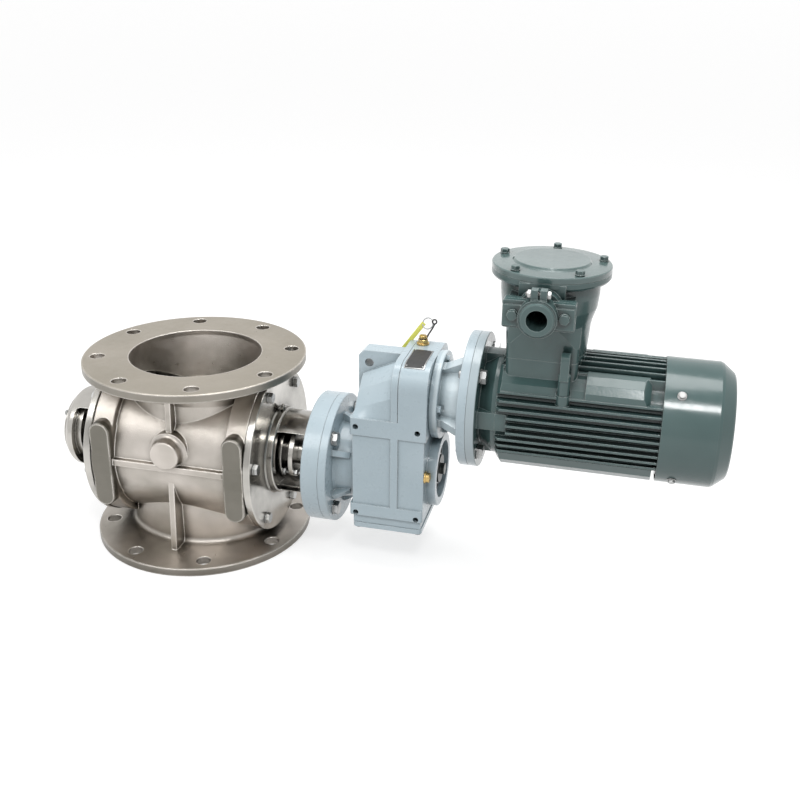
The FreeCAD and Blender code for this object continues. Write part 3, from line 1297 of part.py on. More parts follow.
def layshaft():
    """Return the layshaft with its pinion cut on it."""
    left, right = lay_bearing_places()
    x1 = right + SMALL_BEARING_WIDTH - 0.5
    r = SMALL_BEARING_SHAFT_R
    root = FINAL_MODULE * FINAL_PINION_TEETH / 2 + FINAL_MODULE * (FINAL_SHIFT - 1.25)
    profile = [(left, 0), (left, r), (left + SMALL_BEARING_WIDTH, r), (left + SMALL_BEARING_WIDTH, r + 2.5),
               (FINAL_FACE_X0 - 2, r + 2.5), (FINAL_FACE_X0 - 2, root - 0.2), (FINAL_FACE_X1 + 1, root - 0.2),
               (FINAL_FACE_X1 + 1, r), (x1, r), (x1, 0)]
    stem = turned(profile, LAY_Y, LAY_Z)
    teeth = gear(FINAL_MODULE, FINAL_PINION_TEETH, FINAL_SHIFT, mesh_angles()[1], LAY_Y, LAY_Z,
                 FINAL_FACE_X0 - 2,
                 FINAL_FACE_X1 + 1)
    return join([stem, teeth])


def layshaft_gear():
    """Return the large gear of the first stage, on the layshaft."""
    blank = gear(FIRST_MODULE, FIRST_GEAR_TEETH, -FIRST_SHIFT, mesh_angles()[2], LAY_Y, LAY_Z, FIRST_FACE_X0,
                 FIRST_FACE_X1)
    rim = FIRST_MODULE * FIRST_GEAR_TEETH / 2 - 7.25
    hub = SMALL_BEARING_SHAFT_R + 8
    cuts = [tube_x(x0, x0 + 5, rim, hub, LAY_Y, LAY_Z) for x0 in (FIRST_FACE_X0 - 1, FIRST_FACE_X1 - 4)]
    cuts.append(rod_x(FIRST_FACE_X0 - 1, FIRST_FACE_X1 + 1, SMALL_BEARING_SHAFT_R + FIT, LAY_Y, LAY_Z))
    return blank.cut(group(cuts))


def input_shaft():
    """Return the input pinion shaft with the sleeve that takes the motor shaft."""
    start = input_bearing_place()
    r = SMALL_BEARING_SHAFT_R
    root = FIRST_MODULE * FIRST_PINION_TEETH / 2 + FIRST_MODULE * (FIRST_SHIFT - 1.25)
    profile = [
        (FIRST_FACE_X0 - 1, 0), (FIRST_FACE_X0 - 1, root - 0.1), (FIRST_FACE_X1 + 1, root - 0.1),
        (FIRST_FACE_X1 + 1, r + 2), (start, r + 2), (start, r), (start + SMALL_BEARING_WIDTH, r),
        (start + SMALL_BEARING_WIDTH + 2, SLEEVE_R + 2), (SLEEVE_BEARING_X0, SLEEVE_R + 2),
        (SLEEVE_BEARING_X0, SLEEVE_R), (MOTOR_FACE_X - 8, SLEEVE_R), (MOTOR_FACE_X - 8, MOTOR_SHAFT_R + FIT),
        (MOTOR_FACE_X - MOTOR_SHAFT_OUT - 2, MOTOR_SHAFT_R + FIT), (MOTOR_FACE_X - MOTOR_SHAFT_OUT - 2, 0),
    ]
    shaft = turned(profile, 0, INPUT_Z)
    teeth = gear(FIRST_MODULE, FIRST_PINION_TEETH, FIRST_SHIFT, mesh_angles()[3], 0, INPUT_Z,
                 FIRST_FACE_X0 - 1,
                 FIRST_FACE_X1 + 1)
    return join([shaft, teeth]).cut(motor_key_space(FIT))


def motor_key_space(gap):
    """Return the key between motor shaft and sleeve, grown by a gap."""
    half = MOTOR_KEY_WIDTH / 2 + gap
    top = MOTOR_SHAFT_R + 3.0 + gap
    low = MOTOR_SHAFT_R - 4.0 - gap
    x0 = MOTOR_FACE_X - MOTOR_SHAFT_OUT + 4
    return block(x0 - gap, x0 + MOTOR_KEY_LENGTH + gap, -half, half, INPUT_Z + low, INPUT_Z + top)


def breather():
    """Return the brass breather on top of the case."""
    top = TOWER_TOP
    stem = rod_z(top - 10, top + 1, PLUG_R, BREATHER_X, BREATHER_Y)
    collar = rod_z(top, top + 2.5, PLUG_R + 3, BREATHER_X, BREATHER_Y)
    body = hexagon_z(top + 2.4, top + 10, 14.0, BREATHER_X, BREATHER_Y)
    cap = rod_z(top + 10, top + 14, 5.0, BREATHER_X, BREATHER_Y)
    return join([stem, collar, body, cap])


def oil_plugs():
    """Return the brass level plugs on the motor side of the case."""
    x = CASE_BAND_X1
    plugs = []
    for y, z in oil_plug_places():
        stem = rod_x(x - 8, x + 1, PLUG_R, y, z)
        collar = rod_x(x, x + 2.5, PLUG_R + 2.5, y, z)
        plugs.append(join([stem, collar, hexagon_x(x + 2.4, x + 8, 12.0, y, z)]))
    return group(plugs)


def adapter_flange_screw_places():
    """Return the screw places of the motor adapter's small flange."""
    return ring_places(ADAPTER_SCREWS, ADAPTER_SCREW_PCD, 0.0)


def motor_adapter():
    """Return the adapter between gear case and motor: small flange, ribbed cone and large disc."""
    x0, x1 = TOWER_X1, ADAPTER_FLANGE_X1
    disc = ADAPTER_DISC_X0
    face = MOTOR_FACE_X
    register = face - DISC_REGISTER_DEPTH
    seat = SLEEVE_BEARING_R + SEAT_GAP
    lip = SLEEVE_BEARING_R - BEARING_LIP
    profile = [
        (x0 - ADAPTER_SPIGOT, SMALL_BEARING_R), (x0 - ADAPTER_SPIGOT, ADAPTER_SPIGOT_R),
        (x0, ADAPTER_SPIGOT_R),
        (x0, ADAPTER_FLANGE_R - 1), (x0 + 1, ADAPTER_FLANGE_R), (x1 - 1, ADAPTER_FLANGE_R),
        (x1, ADAPTER_FLANGE_R - 1), (x1, ADAPTER_CONE_R0), (disc, ADAPTER_CONE_R1), (disc, DISC_R - 1),
        (disc + 1, DISC_R), (face, DISC_R), (face, DISC_REGISTER_R + SEAT_GAP),
        (register, DISC_REGISTER_R + SEAT_GAP), (register, seat), (SLEEVE_BEARING_X0, seat),
        (SLEEVE_BEARING_X0, lip), (x0 + 4, lip), (x0 + 4, SMALL_BEARING_R),
    ]
    ribs = []
    for k in range(ADAPTER_SCREWS):
        outline = [(x1 - 1, ADAPTER_CONE_R0 - 6), (x1 - 1, ADAPTER_FLANGE_R - 7),
                   (x1 + 4, ADAPTER_FLANGE_R - 7),
                   (disc + 1, ADAPTER_CONE_R1 + 19), (disc + 1, ADAPTER_CONE_R0 - 6)]
        rib = prism_y([(x, INPUT_Z + r) for x, r in outline], -ADAPTER_RIB_T / 2, ADAPTER_RIB_T / 2)
        rib.rotate(vec(0, 0, INPUT_Z), X_DIR, 22.5 + 360.0 * k / ADAPTER_SCREWS)
        ribs.append(rib)
    bell = join([turned(profile, 0, INPUT_Z)] + ribs)
    cuts = []
    for y, z in adapter_flange_screw_places():
        cuts.append(rod_x(x0 - 1, x1 + 1, SCREW_R + BOLT_GAP, y, INPUT_Z + z))
        cuts.append(rod_x(x1, x1 + SCREW_HEAD_T + 4, SCREW_AF * 0.75, y, INPUT_Z + z))
    for y, z in disc_bolt_places():
        cuts.append(rod_x(face - 20, face + 1, DISC_BOLT_R + THREAD_GAP, y, INPUT_Z + z))
    return bell.cut(group(cuts))


def motor_adapter_screws():
    """Return the small hex screws of the adapter's small flange."""
    x1 = ADAPTER_FLANGE_X1
    screws = []
    for y, z in adapter_flange_screw_places():
        shank = rod_x(TOWER_X1 - ADAPTER_SCREW_GRIP, x1 + 1, SCREW_R, y, INPUT_Z + z)
        screws.append(join([shank, hexagon_x(x1, x1 + SCREW_HEAD_T, SCREW_AF, y, INPUT_Z + z)]))
    return group(screws)


def motor_front_shield():
    """Return the motor's front shield with its round mounting disc."""
    x0, x1 = MOTOR_FACE_X, MOTOR_DISC_X1
    spigot = x0 - DISC_REGISTER_DEPTH + FACE_GAP
    seat_x0 = motor_bearing_places()[0]
    seat_x1 = seat_x0 + MOTOR_BEARING_WIDTH
    relief_r = motor_bearing_split() + 2
    hole = MOTOR_SHAFT_R + RUN_GAP
    end = SHIELD_END_X
    profile = [
        (spigot, hole), (spigot, DISC_REGISTER_R), (x0, DISC_REGISTER_R), (x0, DISC_R - 0.6),
        (x0 + 0.6, DISC_R), (x1 - 1, DISC_R), (x1, DISC_R - 1), (x1, SHIELD_BODY_R - 12),
        (x1 + 8, SHIELD_BODY_R - 8), (end - 6, SHIELD_BODY_R), (end, SHIELD_BODY_R), (end, STATOR_BORE_R),
        (end + 5, STATOR_BORE_R - SEAT_GAP), (end + 5, STATOR_BORE_R - 6), (seat_x1 + 1, MOTOR_BEARING_R + 8),
        (seat_x1 + 1, MOTOR_BEARING_R + SEAT_GAP), (seat_x0, MOTOR_BEARING_R + SEAT_GAP), (seat_x0, relief_r),
        (seat_x0 - BEARING_RELIEF, relief_r), (seat_x0 - BEARING_RELIEF, hole),
    ]
    shield = join([turned(profile, 0, INPUT_Z)] + [lump(x1 - 1, end, k) for k in range(4)])
    cuts = []
    for y, z in disc_bolt_places():
        cuts.append(rod_x(x0 - 1, x1 + 1, DISC_BOLT_R + BOLT_GAP, y, INPUT_Z + z))
        cuts.append(rod_x(x1, x1 + DISC_BOLT_HEAD_T + 2, DISC_BOLT_HEAD_AF * 0.72, y, INPUT_Z + z))
    hollow = rod_x(seat_x1 + 1, end + 6, MOTOR_BEARING_R + 2, 0, INPUT_Z)
    return shield.cut(group(cuts)).cut(hollow)


def stator_fins():
    """Return the cooling fins: level ones on both sides, upright ones on top and below."""
    x0, x1 = SHIELD_END_X + 1, STATOR_END_X
    fins = []
    half = FIN_T / 2
    for k in range(-FIN_ROWS, FIN_ROWS + 1):
        offset = k * FIN_PITCH
        start = x0 + (SHIELD_LUMP_REACH if abs(offset) < SHIELD_LUMP_HALF else 0)
        reach = math.sqrt(FIN_TIP_R ** 2 - (abs(offset) + half) ** 2)
        fins.append(block(start, x1, -reach, reach, INPUT_Z + offset - half, INPUT_Z + offset + half))
        fins.append(block(start, x1, offset - half, offset + half, INPUT_Z + STATOR_BASE_R / 2 + 2,
                          INPUT_Z + reach))
    return fins


def stator_pad(side):
    """Return the raised blank pad on the upper flank, with slanted ends."""
    tip = FIN_TIP_R + 5
    pad = flank(side, [(62, tip - 7), (54, tip - 1), (45, tip + 0.5), (37, tip - 1), (30, tip - 7),
                       (33, STATOR_BASE_R - 6), (58, STATOR_BASE_R - 6)], SHOULDER_END_X,
                       SHOULDER_END_X + PAD_LENGTH)
    slope = turned([(SHOULDER_END_X + PAD_LENGTH - 12, tip + 2), (SHOULDER_END_X + PAD_LENGTH + 1, tip - 12),
                    (SHOULDER_END_X + PAD_LENGTH + 1, tip + 6), (SHOULDER_END_X + PAD_LENGTH - 12, tip + 6)],
                    0, INPUT_Z)
    return pad.cut(slope)


def stator_foot(side):
    """Return the smooth bar on the lower flank."""
    tip = FIN_TIP_R + 1
    return flank(side, [(-32, tip - 9), (-34, tip - 2), (-46, tip), (-60, tip + 0.5), (-74, tip - 1),
                        (-76, STATOR_BASE_R), (-54, STATOR_BASE_R - 6)], SHIELD_END_X + 1, STATOR_END_X - 6)


def stator_housing():
    """Return the finned motor housing."""
    x0, x1 = SHIELD_END_X, STATOR_END_X
    tip = FIN_TIP_R
    parts = [rod_x(x0, x1, STATOR_BASE_R, 0, INPUT_Z)] + stator_fins()
    parts += [lump(x0, x0 + SHIELD_LUMP_REACH, k) for k in range(4)]
    for side in (-1, 1):
        parts.append(flank(side, [(30, tip - 10), (30, tip - 2), (40, tip - 0.5), (52, tip - 1),
                                  (62, tip - 4),
                                  (62, STATOR_BASE_R - 6), (40, STATOR_BASE_R - 8)], x0, SHOULDER_END_X))
        parts += [stator_pad(side), stator_foot(side)]
    eye_room = rod_z(EYE_BASE_Z, BOX_FOOT_Z, EYE_REST_R, EYE_X, EYE_Y)
    finned = join(parts).cut(fin_lead()).cut(eye_room)
    rise = INPUT_Z + STATOR_BASE_R / 2
    housing = join([finned, box_seat(rise, BOX_FOOT_Z), rod_z(rise, BOX_FOOT_Z, BOX_SEAT_R, BOX_X),
                    rod_z(EYE_BASE_Z - EYE_STEM_LENGTH - 4, EYE_BASE_Z, EYE_REST_R, EYE_X, EYE_Y)])
    cuts = [rod_x(x0 - 1, x1 + 1, STATOR_BORE_R, 0, INPUT_Z),
            rod_z(INPUT_Z + STATOR_BORE_R - 12, BOX_FOOT_Z + 1, BOX_WIRE_R, BOX_X),
            rod_z(EYE_BASE_Z - EYE_STEM_LENGTH - 1, EYE_BASE_Z + 1, EYE_STEM_R + THREAD_GAP, EYE_X, EYE_Y)]
    return housing.cut(group(cuts))


def lifting_eye():
    """Return the lifting eye: threaded stem, round collar and a strap with a hole across the motor."""
    base = EYE_BASE_Z
    top = base + EYE_NECK
    centre = top + EYE_STRAP
    half = EYE_WIDTH / 2
    stem = rod_z(base - EYE_STEM_LENGTH, base + 2, EYE_STEM_R, EYE_X, EYE_Y)
    collar = turned_up([(0, base), (EYE_COLLAR_R, base), (EYE_COLLAR_R, top - 2), (EYE_COLLAR_R - 2, top),
                        (0, top)],
                       EYE_X, EYE_Y)
    head = rod_x(EYE_X - half, EYE_X + half, EYE_RING_R, EYE_Y, centre)
    strap = block(EYE_X - half, EYE_X + half, EYE_Y - EYE_RING_R, EYE_Y + EYE_RING_R, top - 8, centre)
    hole = rod_x(EYE_X - EYE_WIDTH, EYE_X + EYE_WIDTH, EYE_HOLE_R, EYE_Y, centre)
    return join([stem, collar, strap, head]).cut(hole)


def stator_core():
    """Return the laminated core pressed into the housing."""
    return tube_x(CORE_X0, CORE_X1, STATOR_BORE_R - FIT, CORE_BORE_R, 0, INPUT_Z)


def stator_windings():
    """Return the winding heads at both ends of the core."""
    rings = []
    for x0, x1 in ((CORE_X0 - WINDING_LENGTH, CORE_X0), (CORE_X1, CORE_X1 + WINDING_LENGTH)):
        ring = tube_x(x0, x1, WINDING_R, WINDING_BORE_R, 0, INPUT_Z)
        rings.append(ring)
    return group(rings)


def motor_bearing_places():
    """Return where the two motor bearings start."""
    return (MOTOR_DISC_X1 + 2.0, STATOR_END_X - 4.0)


def motor_bearing_split():
    """Return the radius between the rings of the motor bearings."""
    return (MOTOR_JOURNAL_R + MOTOR_BEARING_R) / 2


def motor_bearing_outer_rings():
    """Return the fixed rings of the motor bearings."""
    return group([outer_ring(x0, MOTOR_BEARING_WIDTH, MOTOR_BEARING_R, motor_bearing_split(), 0, INPUT_Z)
                  for x0 in motor_bearing_places()])


def input_bearing_inner_rings():
    """Return the inner rings that turn with the motor: two of the input shaft, two of the motor shaft."""
    rings = [inner_ring(input_bearing_place(), SMALL_BEARING_WIDTH, SMALL_BEARING_SHAFT_R,
                        small_bearing_split(), 0,
                        INPUT_Z),
             inner_ring(SLEEVE_BEARING_X0, SLEEVE_BEARING_WIDTH, SLEEVE_R, sleeve_bearing_split(), 0,
                        INPUT_Z)]
    for x0 in motor_bearing_places():
        rings.append(inner_ring(x0, MOTOR_BEARING_WIDTH, MOTOR_JOURNAL_R, motor_bearing_split(), 0, INPUT_Z))
    return group(rings)


def motor_shaft():
    """Return the motor shaft."""
    front, rear = motor_bearing_places()
    front_end = front + MOTOR_BEARING_WIDTH
    rear_end = rear + MOTOR_BEARING_WIDTH
    x0 = MOTOR_FACE_X - MOTOR_SHAFT_OUT
    profile = [
        (x0, 0), (x0, MOTOR_SHAFT_R - 1), (x0 + 1, MOTOR_SHAFT_R), (front, MOTOR_SHAFT_R),
        (front, MOTOR_JOURNAL_R), (front_end, MOTOR_JOURNAL_R), (front_end, MOTOR_SHAFT_BODY_R),
        (rear, MOTOR_SHAFT_BODY_R), (rear, MOTOR_JOURNAL_R), (rear_end, MOTOR_JOURNAL_R),
        (rear_end, MOTOR_TAIL_R), (FAN_X1 + 2, MOTOR_TAIL_R), (FAN_X1 + 2, 0),
    ]
    return turned(profile, 0, INPUT_Z).cut(motor_key_space(FIT))


def motor_rotor_core():
    """Return the rotor core on the motor shaft."""
    core = tube_x(CORE_X0, CORE_X1, ROTOR_CORE_R, MOTOR_SHAFT_BODY_R + FIT, 0, INPUT_Z)
    rings = [tube_x(x0, x0 + 9, ROTOR_CORE_R - 2, MOTOR_SHAFT_BODY_R + 12, 0, INPUT_Z)
             for x0 in (CORE_X0 - 9, CORE_X1)]
    return join([core] + rings)


def motor_rear_shield():
    """Return the rear shield with its bearing seat."""
    x0 = STATOR_END_X
    seat = motor_bearing_places()[1]
    seat_x1 = seat + MOTOR_BEARING_WIDTH
    relief_r = motor_bearing_split() + 2
    hole = MOTOR_TAIL_R + 2
    profile = [
        (x0 - 5, STATOR_BORE_R - 10), (x0 - 5, STATOR_BORE_R - SEAT_GAP), (x0, STATOR_BORE_R - SEAT_GAP),
        (x0, STATOR_BASE_R + 4), (x0 + REAR_SHIELD_T - 4, STATOR_BASE_R + 4),
        (x0 + REAR_SHIELD_T, STATOR_BASE_R),
        (x0 + REAR_SHIELD_T, hole), (seat_x1 + BEARING_RELIEF, hole), (seat_x1 + BEARING_RELIEF, relief_r),
        (seat_x1, relief_r), (seat_x1, MOTOR_BEARING_R + SEAT_GAP), (seat - 2, MOTOR_BEARING_R + SEAT_GAP),
        (seat - 2, MOTOR_BEARING_R + 6), (x0 + 4, STATOR_BORE_R - 10),
    ]
    shield = turned(profile, 0, INPUT_Z)
    rim = COWL_R - COWL_WALL - FACE_GAP
    lugs = []
    for turn in cowl_screw_turns():
        lug = block(COWL_SCREW_X - 7, COWL_SCREW_X + 7, -7.0, 7.0, rim - 9.2, rim - 0.2)
        bar = block(x0 + 2, COWL_SCREW_X + 7, -7.0, 7.0, STATOR_BASE_R - 6, rim - 1.4)
        foot = join([lug, bar]).cut(rod_z(rim - 12, rim + 1, SCREW_R + THREAD_GAP, COWL_SCREW_X))
        lugs.append(about_motor(foot, turn))
    return join([shield] + lugs)


def fan_cowl():
    """Return the fan cowl: a thin drum with a bevelled end and an air grille."""
    w = COWL_WALL
    profile = [
        (COWL_START_X, COWL_R - w), (COWL_START_X, COWL_R), (COWL_BEVEL_X, COWL_R),
        (COWL_BEVEL_X + 4, COWL_R - 1.5),
        (COWL_END_X - 2, COWL_END_R + 2), (COWL_END_X, COWL_END_R - 1), (COWL_END_X, 0), (COWL_END_X - w, 0),
        (COWL_END_X - w, COWL_END_R - 2.5), (COWL_BEVEL_X + 3, COWL_R - w - 1.5),
        (COWL_BEVEL_X - 1, COWL_R - w),
    ]
    cuts = []
    for r0, r1, bars in ((16.0, 34.0, 6), (38.0, COWL_END_R - 8, 12)):
        for k in range(bars):
            slot = block(COWL_END_X - 5, COWL_END_X + 1, -3.2, 3.2, r0, r1)
            cuts.append(about_motor(slot, 360.0 * (k + 0.5) / bars))
    for turn in cowl_screw_turns():
        cuts.append(about_motor(rod_z(COWL_R - 8, COWL_R + 2, SCREW_R + BOLT_GAP, COWL_SCREW_X), turn))
    return turned(profile, 0, INPUT_Z).cut(group(cuts))


def cowl_screws():
    """Return the four screws of the cowl."""
    screws = []
    for turn in cowl_screw_turns():
        washer = rod_z(COWL_R + SEAT_GAP, COWL_R + 1.3, 6.0, COWL_SCREW_X)
        head = hexagon_z(COWL_R + 1.2, COWL_R + 5.2, 9.0, COWL_SCREW_X, 0)
        shank = rod_z(COWL_R - 11, COWL_R + 1, SCREW_R, COWL_SCREW_X)
        screws.append(about_motor(join([washer, head, shank]), turn))
    return group(screws)


def cooling_fan():
    """Return the radial cooling fan."""
    hub_r = MOTOR_TAIL_R + 10
    hub = tube_x(FAN_X0, FAN_X1, hub_r, MOTOR_TAIL_R + FIT, 0, INPUT_Z)
    web = tube_x(FAN_X0, FAN_X0 + 3, FAN_R - 6, hub_r - 2, 0, INPUT_Z)
    blades = []
    for k in range(FAN_BLADES):
        outline = [(FAN_X0 + 1, hub_r - 2), (FAN_X0 + 1, FAN_R), (FAN_X1 - 4, FAN_R), (FAN_X1, hub_r - 2)]
        blades.append(about_motor(prism_y(outline, -1.3, 1.3), 360.0 * k / FAN_BLADES))
    return join([hub, web] + blades)


def terminal_box():
    """Return the terminal box: square foot, round neck, rim and the seat of the cable entry."""
    w = BOX_WALL
    foot, rim, height = BOX_FOOT_Z, BOX_RIM_Z, BOX_NECK_HEIGHT
    profile = [
        (BOX_WIRE_R, foot), (BOX_SEAT_R, foot), (BOX_WAIST_R, foot + 0.35 * height),
        (BOX_WAIST_R + 1.5, foot + 0.42 * height),
        (BOX_NECK_R - 2, foot + 0.57 * height), (BOX_NECK_R, foot + 0.74 * height),
        (BOX_NECK_R, rim - BOX_RIM_T - 5),
        (BOX_LID_R - 2, rim - BOX_RIM_T), (BOX_LID_R, rim - BOX_RIM_T + 3), (BOX_LID_R, rim - 0.6),
        (BOX_LID_R - 0.6, rim), (BOX_NECK_R - w, rim), (BOX_NECK_R - w, foot + 0.57 * height),
        (BOX_SEAT_R - w, foot + 0.2 * height), (BOX_SEAT_R - w, foot + BOX_FLOOR_T),
        (BOX_WIRE_R, foot + BOX_FLOOR_T),
    ]
    corner = BOX_SEAT_HALF_X + BOX_SEAT_HALF_Y
    slope = turned_up([(0, foot), (corner, foot), (corner - 30, foot + 0.1 * height),
                       (BOX_WAIST_R, foot + 0.4 * height),
                       (0, foot + 0.4 * height)], BOX_X)
    keep = turned_up([(0, foot + BOX_FLOOR_T), (BOX_SEAT_R - w, foot + BOX_FLOOR_T),
                      (BOX_SEAT_R - w, foot + 0.2 * height), (BOX_NECK_R - w, foot + 0.57 * height),
                      (BOX_NECK_R - w, rim), (0, rim)], BOX_X)
    square = box_seat(foot, foot + 0.4 * height).common(slope)
    entry = join([square, entry_seat()]).cut(keep).cut(rod_z(foot - 1, foot + BOX_FLOOR_T + 1, BOX_WIRE_R,
                                                             BOX_X))
    neck = join([turned_up(profile, BOX_X), entry])
    cuts = [rod_y(ENTRY_PLATE_Y, -BOX_SEAT_R + 27, ENTRY_BORE_R + 2, ENTRY_X, ENTRY_Z)]
    for x, y in lid_bolt_places():
        cuts.append(rod_z(rim - 9, rim + 1, LID_BOLT_R + THREAD_GAP, x, y))
    for x in entry_bolt_places():
        cuts.append(rod_y(ENTRY_SEAT_Y - 1, ENTRY_SEAT_Y + 16, BOX_BOLT_R + THREAD_GAP, x, ENTRY_Z))
    return neck.cut(group(cuts))


def lid_bolt_places():
    """Return (x, y) of the lid bolts."""
    return [(BOX_X + x, y) for x, y in ring_places(LID_BOLTS, LID_BOLT_PCD, 90.0)]


def terminal_lid():
    """Return the lid with its raised round centre."""
    top = BOX_LID_TOP
    rim = BOX_RIM_Z
    spigot = BOX_NECK_R - BOX_WALL - SEAT_GAP
    profile = [
        (0, rim - 4), (spigot, rim - 4), (spigot, rim), (BOX_LID_R, rim), (BOX_LID_R, top - 6),
        (BOX_LID_R - 1.2, top - 4.6), (LID_DOME_R + 1, top - LID_DOME_RISE),
        (LID_DOME_R, top - LID_DOME_RISE), (LID_DOME_R - 3, top), (0, top),
    ]
    holes = [rod_z(rim - 1, top + 1, LID_BOLT_R + BOLT_GAP, x, y) for x, y in lid_bolt_places()]
    return turned_up(profile, BOX_X).cut(group(holes))


def lid_bolts():
    """Return the hex bolts of the lid."""
    seat = BOX_LID_TOP - LID_DOME_RISE - 0.7
    bolts = []
    for x, y in lid_bolt_places():
        shank = rod_z(BOX_RIM_Z - 8, seat + 1, LID_BOLT_R, x, y)
        bolts.append(join([shank, hexagon_z(seat, seat + LID_BOLT_HEAD_T, LID_BOLT_AF, x, y)]))
    return group(bolts)


def terminal_block():
    """Return the terminal block on the floor of the box."""
    z = BOX_FOOT_Z + BOX_FLOOR_T
    base = block(BOX_X - 26, BOX_X + 26, BOX_WIRE_R - 6, BOX_WIRE_R + 16, z, z + 16)
    posts = [rod_z(z + 15, z + 28, 2.5, BOX_X + dx, BOX_WIRE_R + 5) for dx in (-16.0, 0.0, 16.0)]
    return join([base] + posts)


def entry_bolt_places():
    """Return x of the two clamp bolts beside the cable entry."""
    return [ENTRY_X + side * ENTRY_BOLT_SPACING / 2 for side in (-1, 1)]


def cable_entry():
    """Return the cable nozzle with its two-winged clamp plate and the lugs of the pinch bolt."""
    y1 = ENTRY_SEAT_Y
    plate = wing_plate(ENTRY_PLATE_Y, y1 - FACE_GAP / 3)
    ledge = block(ENTRY_X - ENTRY_WING + 1, ENTRY_X + ENTRY_WING - 1, ENTRY_PLATE_Y - 3, y1 - 1,
                  ENTRY_Z - ENTRY_WING_HALF + 3, ENTRY_Z + ENTRY_WING_HALF - 6)
    hub = rod_y(ENTRY_FACE_Y + 6, y1 - 1, ENTRY_HUB_R, ENTRY_X, ENTRY_Z)
    lip = rod_y(ENTRY_FACE_Y, ENTRY_FACE_Y + 7, ENTRY_R, ENTRY_X, ENTRY_Z)
    lip = lip.makeChamfer(2.0, [e for e in lip.Edges if abs(e.CenterOfMass.y - ENTRY_FACE_Y) < 0.1])
    nose = rod_y(y1 - 1, ENTRY_FACE_Y + ENTRY_BORE_DEPTH, ENTRY_BORE_R + 2 - SEAT_GAP, ENTRY_X, ENTRY_Z)
    lugs = []
    for side in (-1, 1):
        x0, x1 = sorted((ENTRY_X + side * ENTRY_LUG_GAP / 2,
                         ENTRY_X + side * (ENTRY_LUG_GAP / 2 + ENTRY_LUG_T)))
        lugs.append(block(x0, x1, ENTRY_PLATE_Y - 12, ENTRY_PLATE_Y + 1, ENTRY_Z + ENTRY_BORE_R + 3,
                          pinch_z() + 7))
    entry = join([plate, ledge, hub, lip, nose] + lugs)
    cuts = [rod_y(ENTRY_FACE_Y - 1, ENTRY_FACE_Y + ENTRY_BORE_DEPTH + 2, ENTRY_BORE_R, ENTRY_X, ENTRY_Z),
            rod_x(ENTRY_X - 30, ENTRY_X + 30, PINCH_R + BOLT_GAP, ENTRY_PLATE_Y - 6, pinch_z())]
    for x in entry_bolt_places():
        cuts.append(rod_y(ENTRY_PLATE_Y - 4, y1 + 1, BOX_BOLT_R + BOLT_GAP, x, ENTRY_Z))
    return entry.cut(group(cuts))


def cable_entry_bolts():
    """Return the two hex bolts of the clamp plate."""
    bolts = []
    seat = ENTRY_PLATE_Y - 3
    for x in entry_bolt_places():
        shank = rod_y(seat - 1, ENTRY_SEAT_Y + 14, BOX_BOLT_R, x, ENTRY_Z)
        bolts.append(join([shank, hexagon_y(seat - 5.5, seat, BOX_BOLT_AF, x, ENTRY_Z)]))
    return group(bolts)


def port_bolt_holes():
    """Return the cutters of the bolt holes through both port flanges."""
    holes = []
    for x, y in ring_places(PORT_HOLES, PORT_PCD, 180.0 / PORT_HOLES):
        for z0 in (0.0, VALVE_HEIGHT - PORT_FLANGE_T):
            holes.append(rod_z(z0 - 1, z0 + PORT_FLANGE_T + 1, PORT_HOLE_R, x, y))
    return holes


def stadium_wire(x, y, z, width, height):
    """Return an upright ring of two lines and two half circles in a plane across Y."""
    r = width / 2
    reach = height / 2 - r
    upper = Part.Arc(vec(x + r, y, z + reach), vec(x, y, z + reach + r), vec(x - r, y, z + reach))
    lower = Part.Arc(vec(x - r, y, z - reach), vec(x, y, z - reach - r), vec(x + r, y, z - reach))
    left = Part.LineSegment(vec(x - r, y, z + reach), vec(x - r, y, z - reach))
    right = Part.LineSegment(vec(x + r, y, z - reach), vec(x + r, y, z + reach))
    return Part.Wire([upper.toShape(), left.toShape(), lower.toShape(), right.toShape()])


def adapter_screw_seat():
    """Return where the heads of the adapter flange's cap screws sit."""
    return ADAPTER_X1 - DISC_REGISTER_DEPTH - SOCKET_HEAD_T - BOLT_GAP


def socket_screw(shank_x0, seat_x, y, z):
    """Return a socket head cap screw whose head sits on a face and points to +X."""
    shank = rod_x(shank_x0, seat_x + 1, SCREW_R, y, z)
    head = rod_x(seat_x, seat_x + SOCKET_HEAD_T, SOCKET_HEAD_R, y, z)
    return join([shank, head.cut(hexagon_x(seat_x + SOCKET_HEAD_T / 2, seat_x + SOCKET_HEAD_T + 1, SOCKET_AF,
                                           y, z))])


def arch(half, low, top, x0, x1, radius):
    """Return a block along X whose two upper edges are rounded."""
    body = block(x0, x1, -half, half, low, top)
    return body.makeFillet(radius, [e for e in body.Edges if e.BoundBox.XLength > 0.5
                                    and e.CenterOfMass.z > top - 1])


def tower(inset, x0, x1):
    """Return a slice of the tower above the bands, drawn in by an inset."""
    return arch(CASE_HALF_Y - inset, CASE_BAND_HIGH_Z, TOWER_TOP - inset, x0, x1, TOWER_EDGE_R - inset)


def case_shoulder():
    """Return the slope between band and lug, which rises towards the tower."""
    half = CASE_HALF_Y - CASE_PANEL_INSET
    wires = []
    for x, slope in ((CASE_BAND_X0 + CASE_SIDE_INSET, SHOULDER_LOW), (CASE_STRIP_X0 + 3, SHOULDER_HIGH)):
        front = [(-half, CASE_BAND_TOP - 5), (-half, CASE_BAND_TOP)]
        front += [(-y, CASE_BAND_TOP + rise) for y, rise in slope]
        outline = front + [(-y, z) for y, z in reversed(front)]
        wires.append(Part.makePolygon([vec(x, y, z) for y, z in outline + outline[:1]]))
    return Part.makeLoft(wires, True, True)


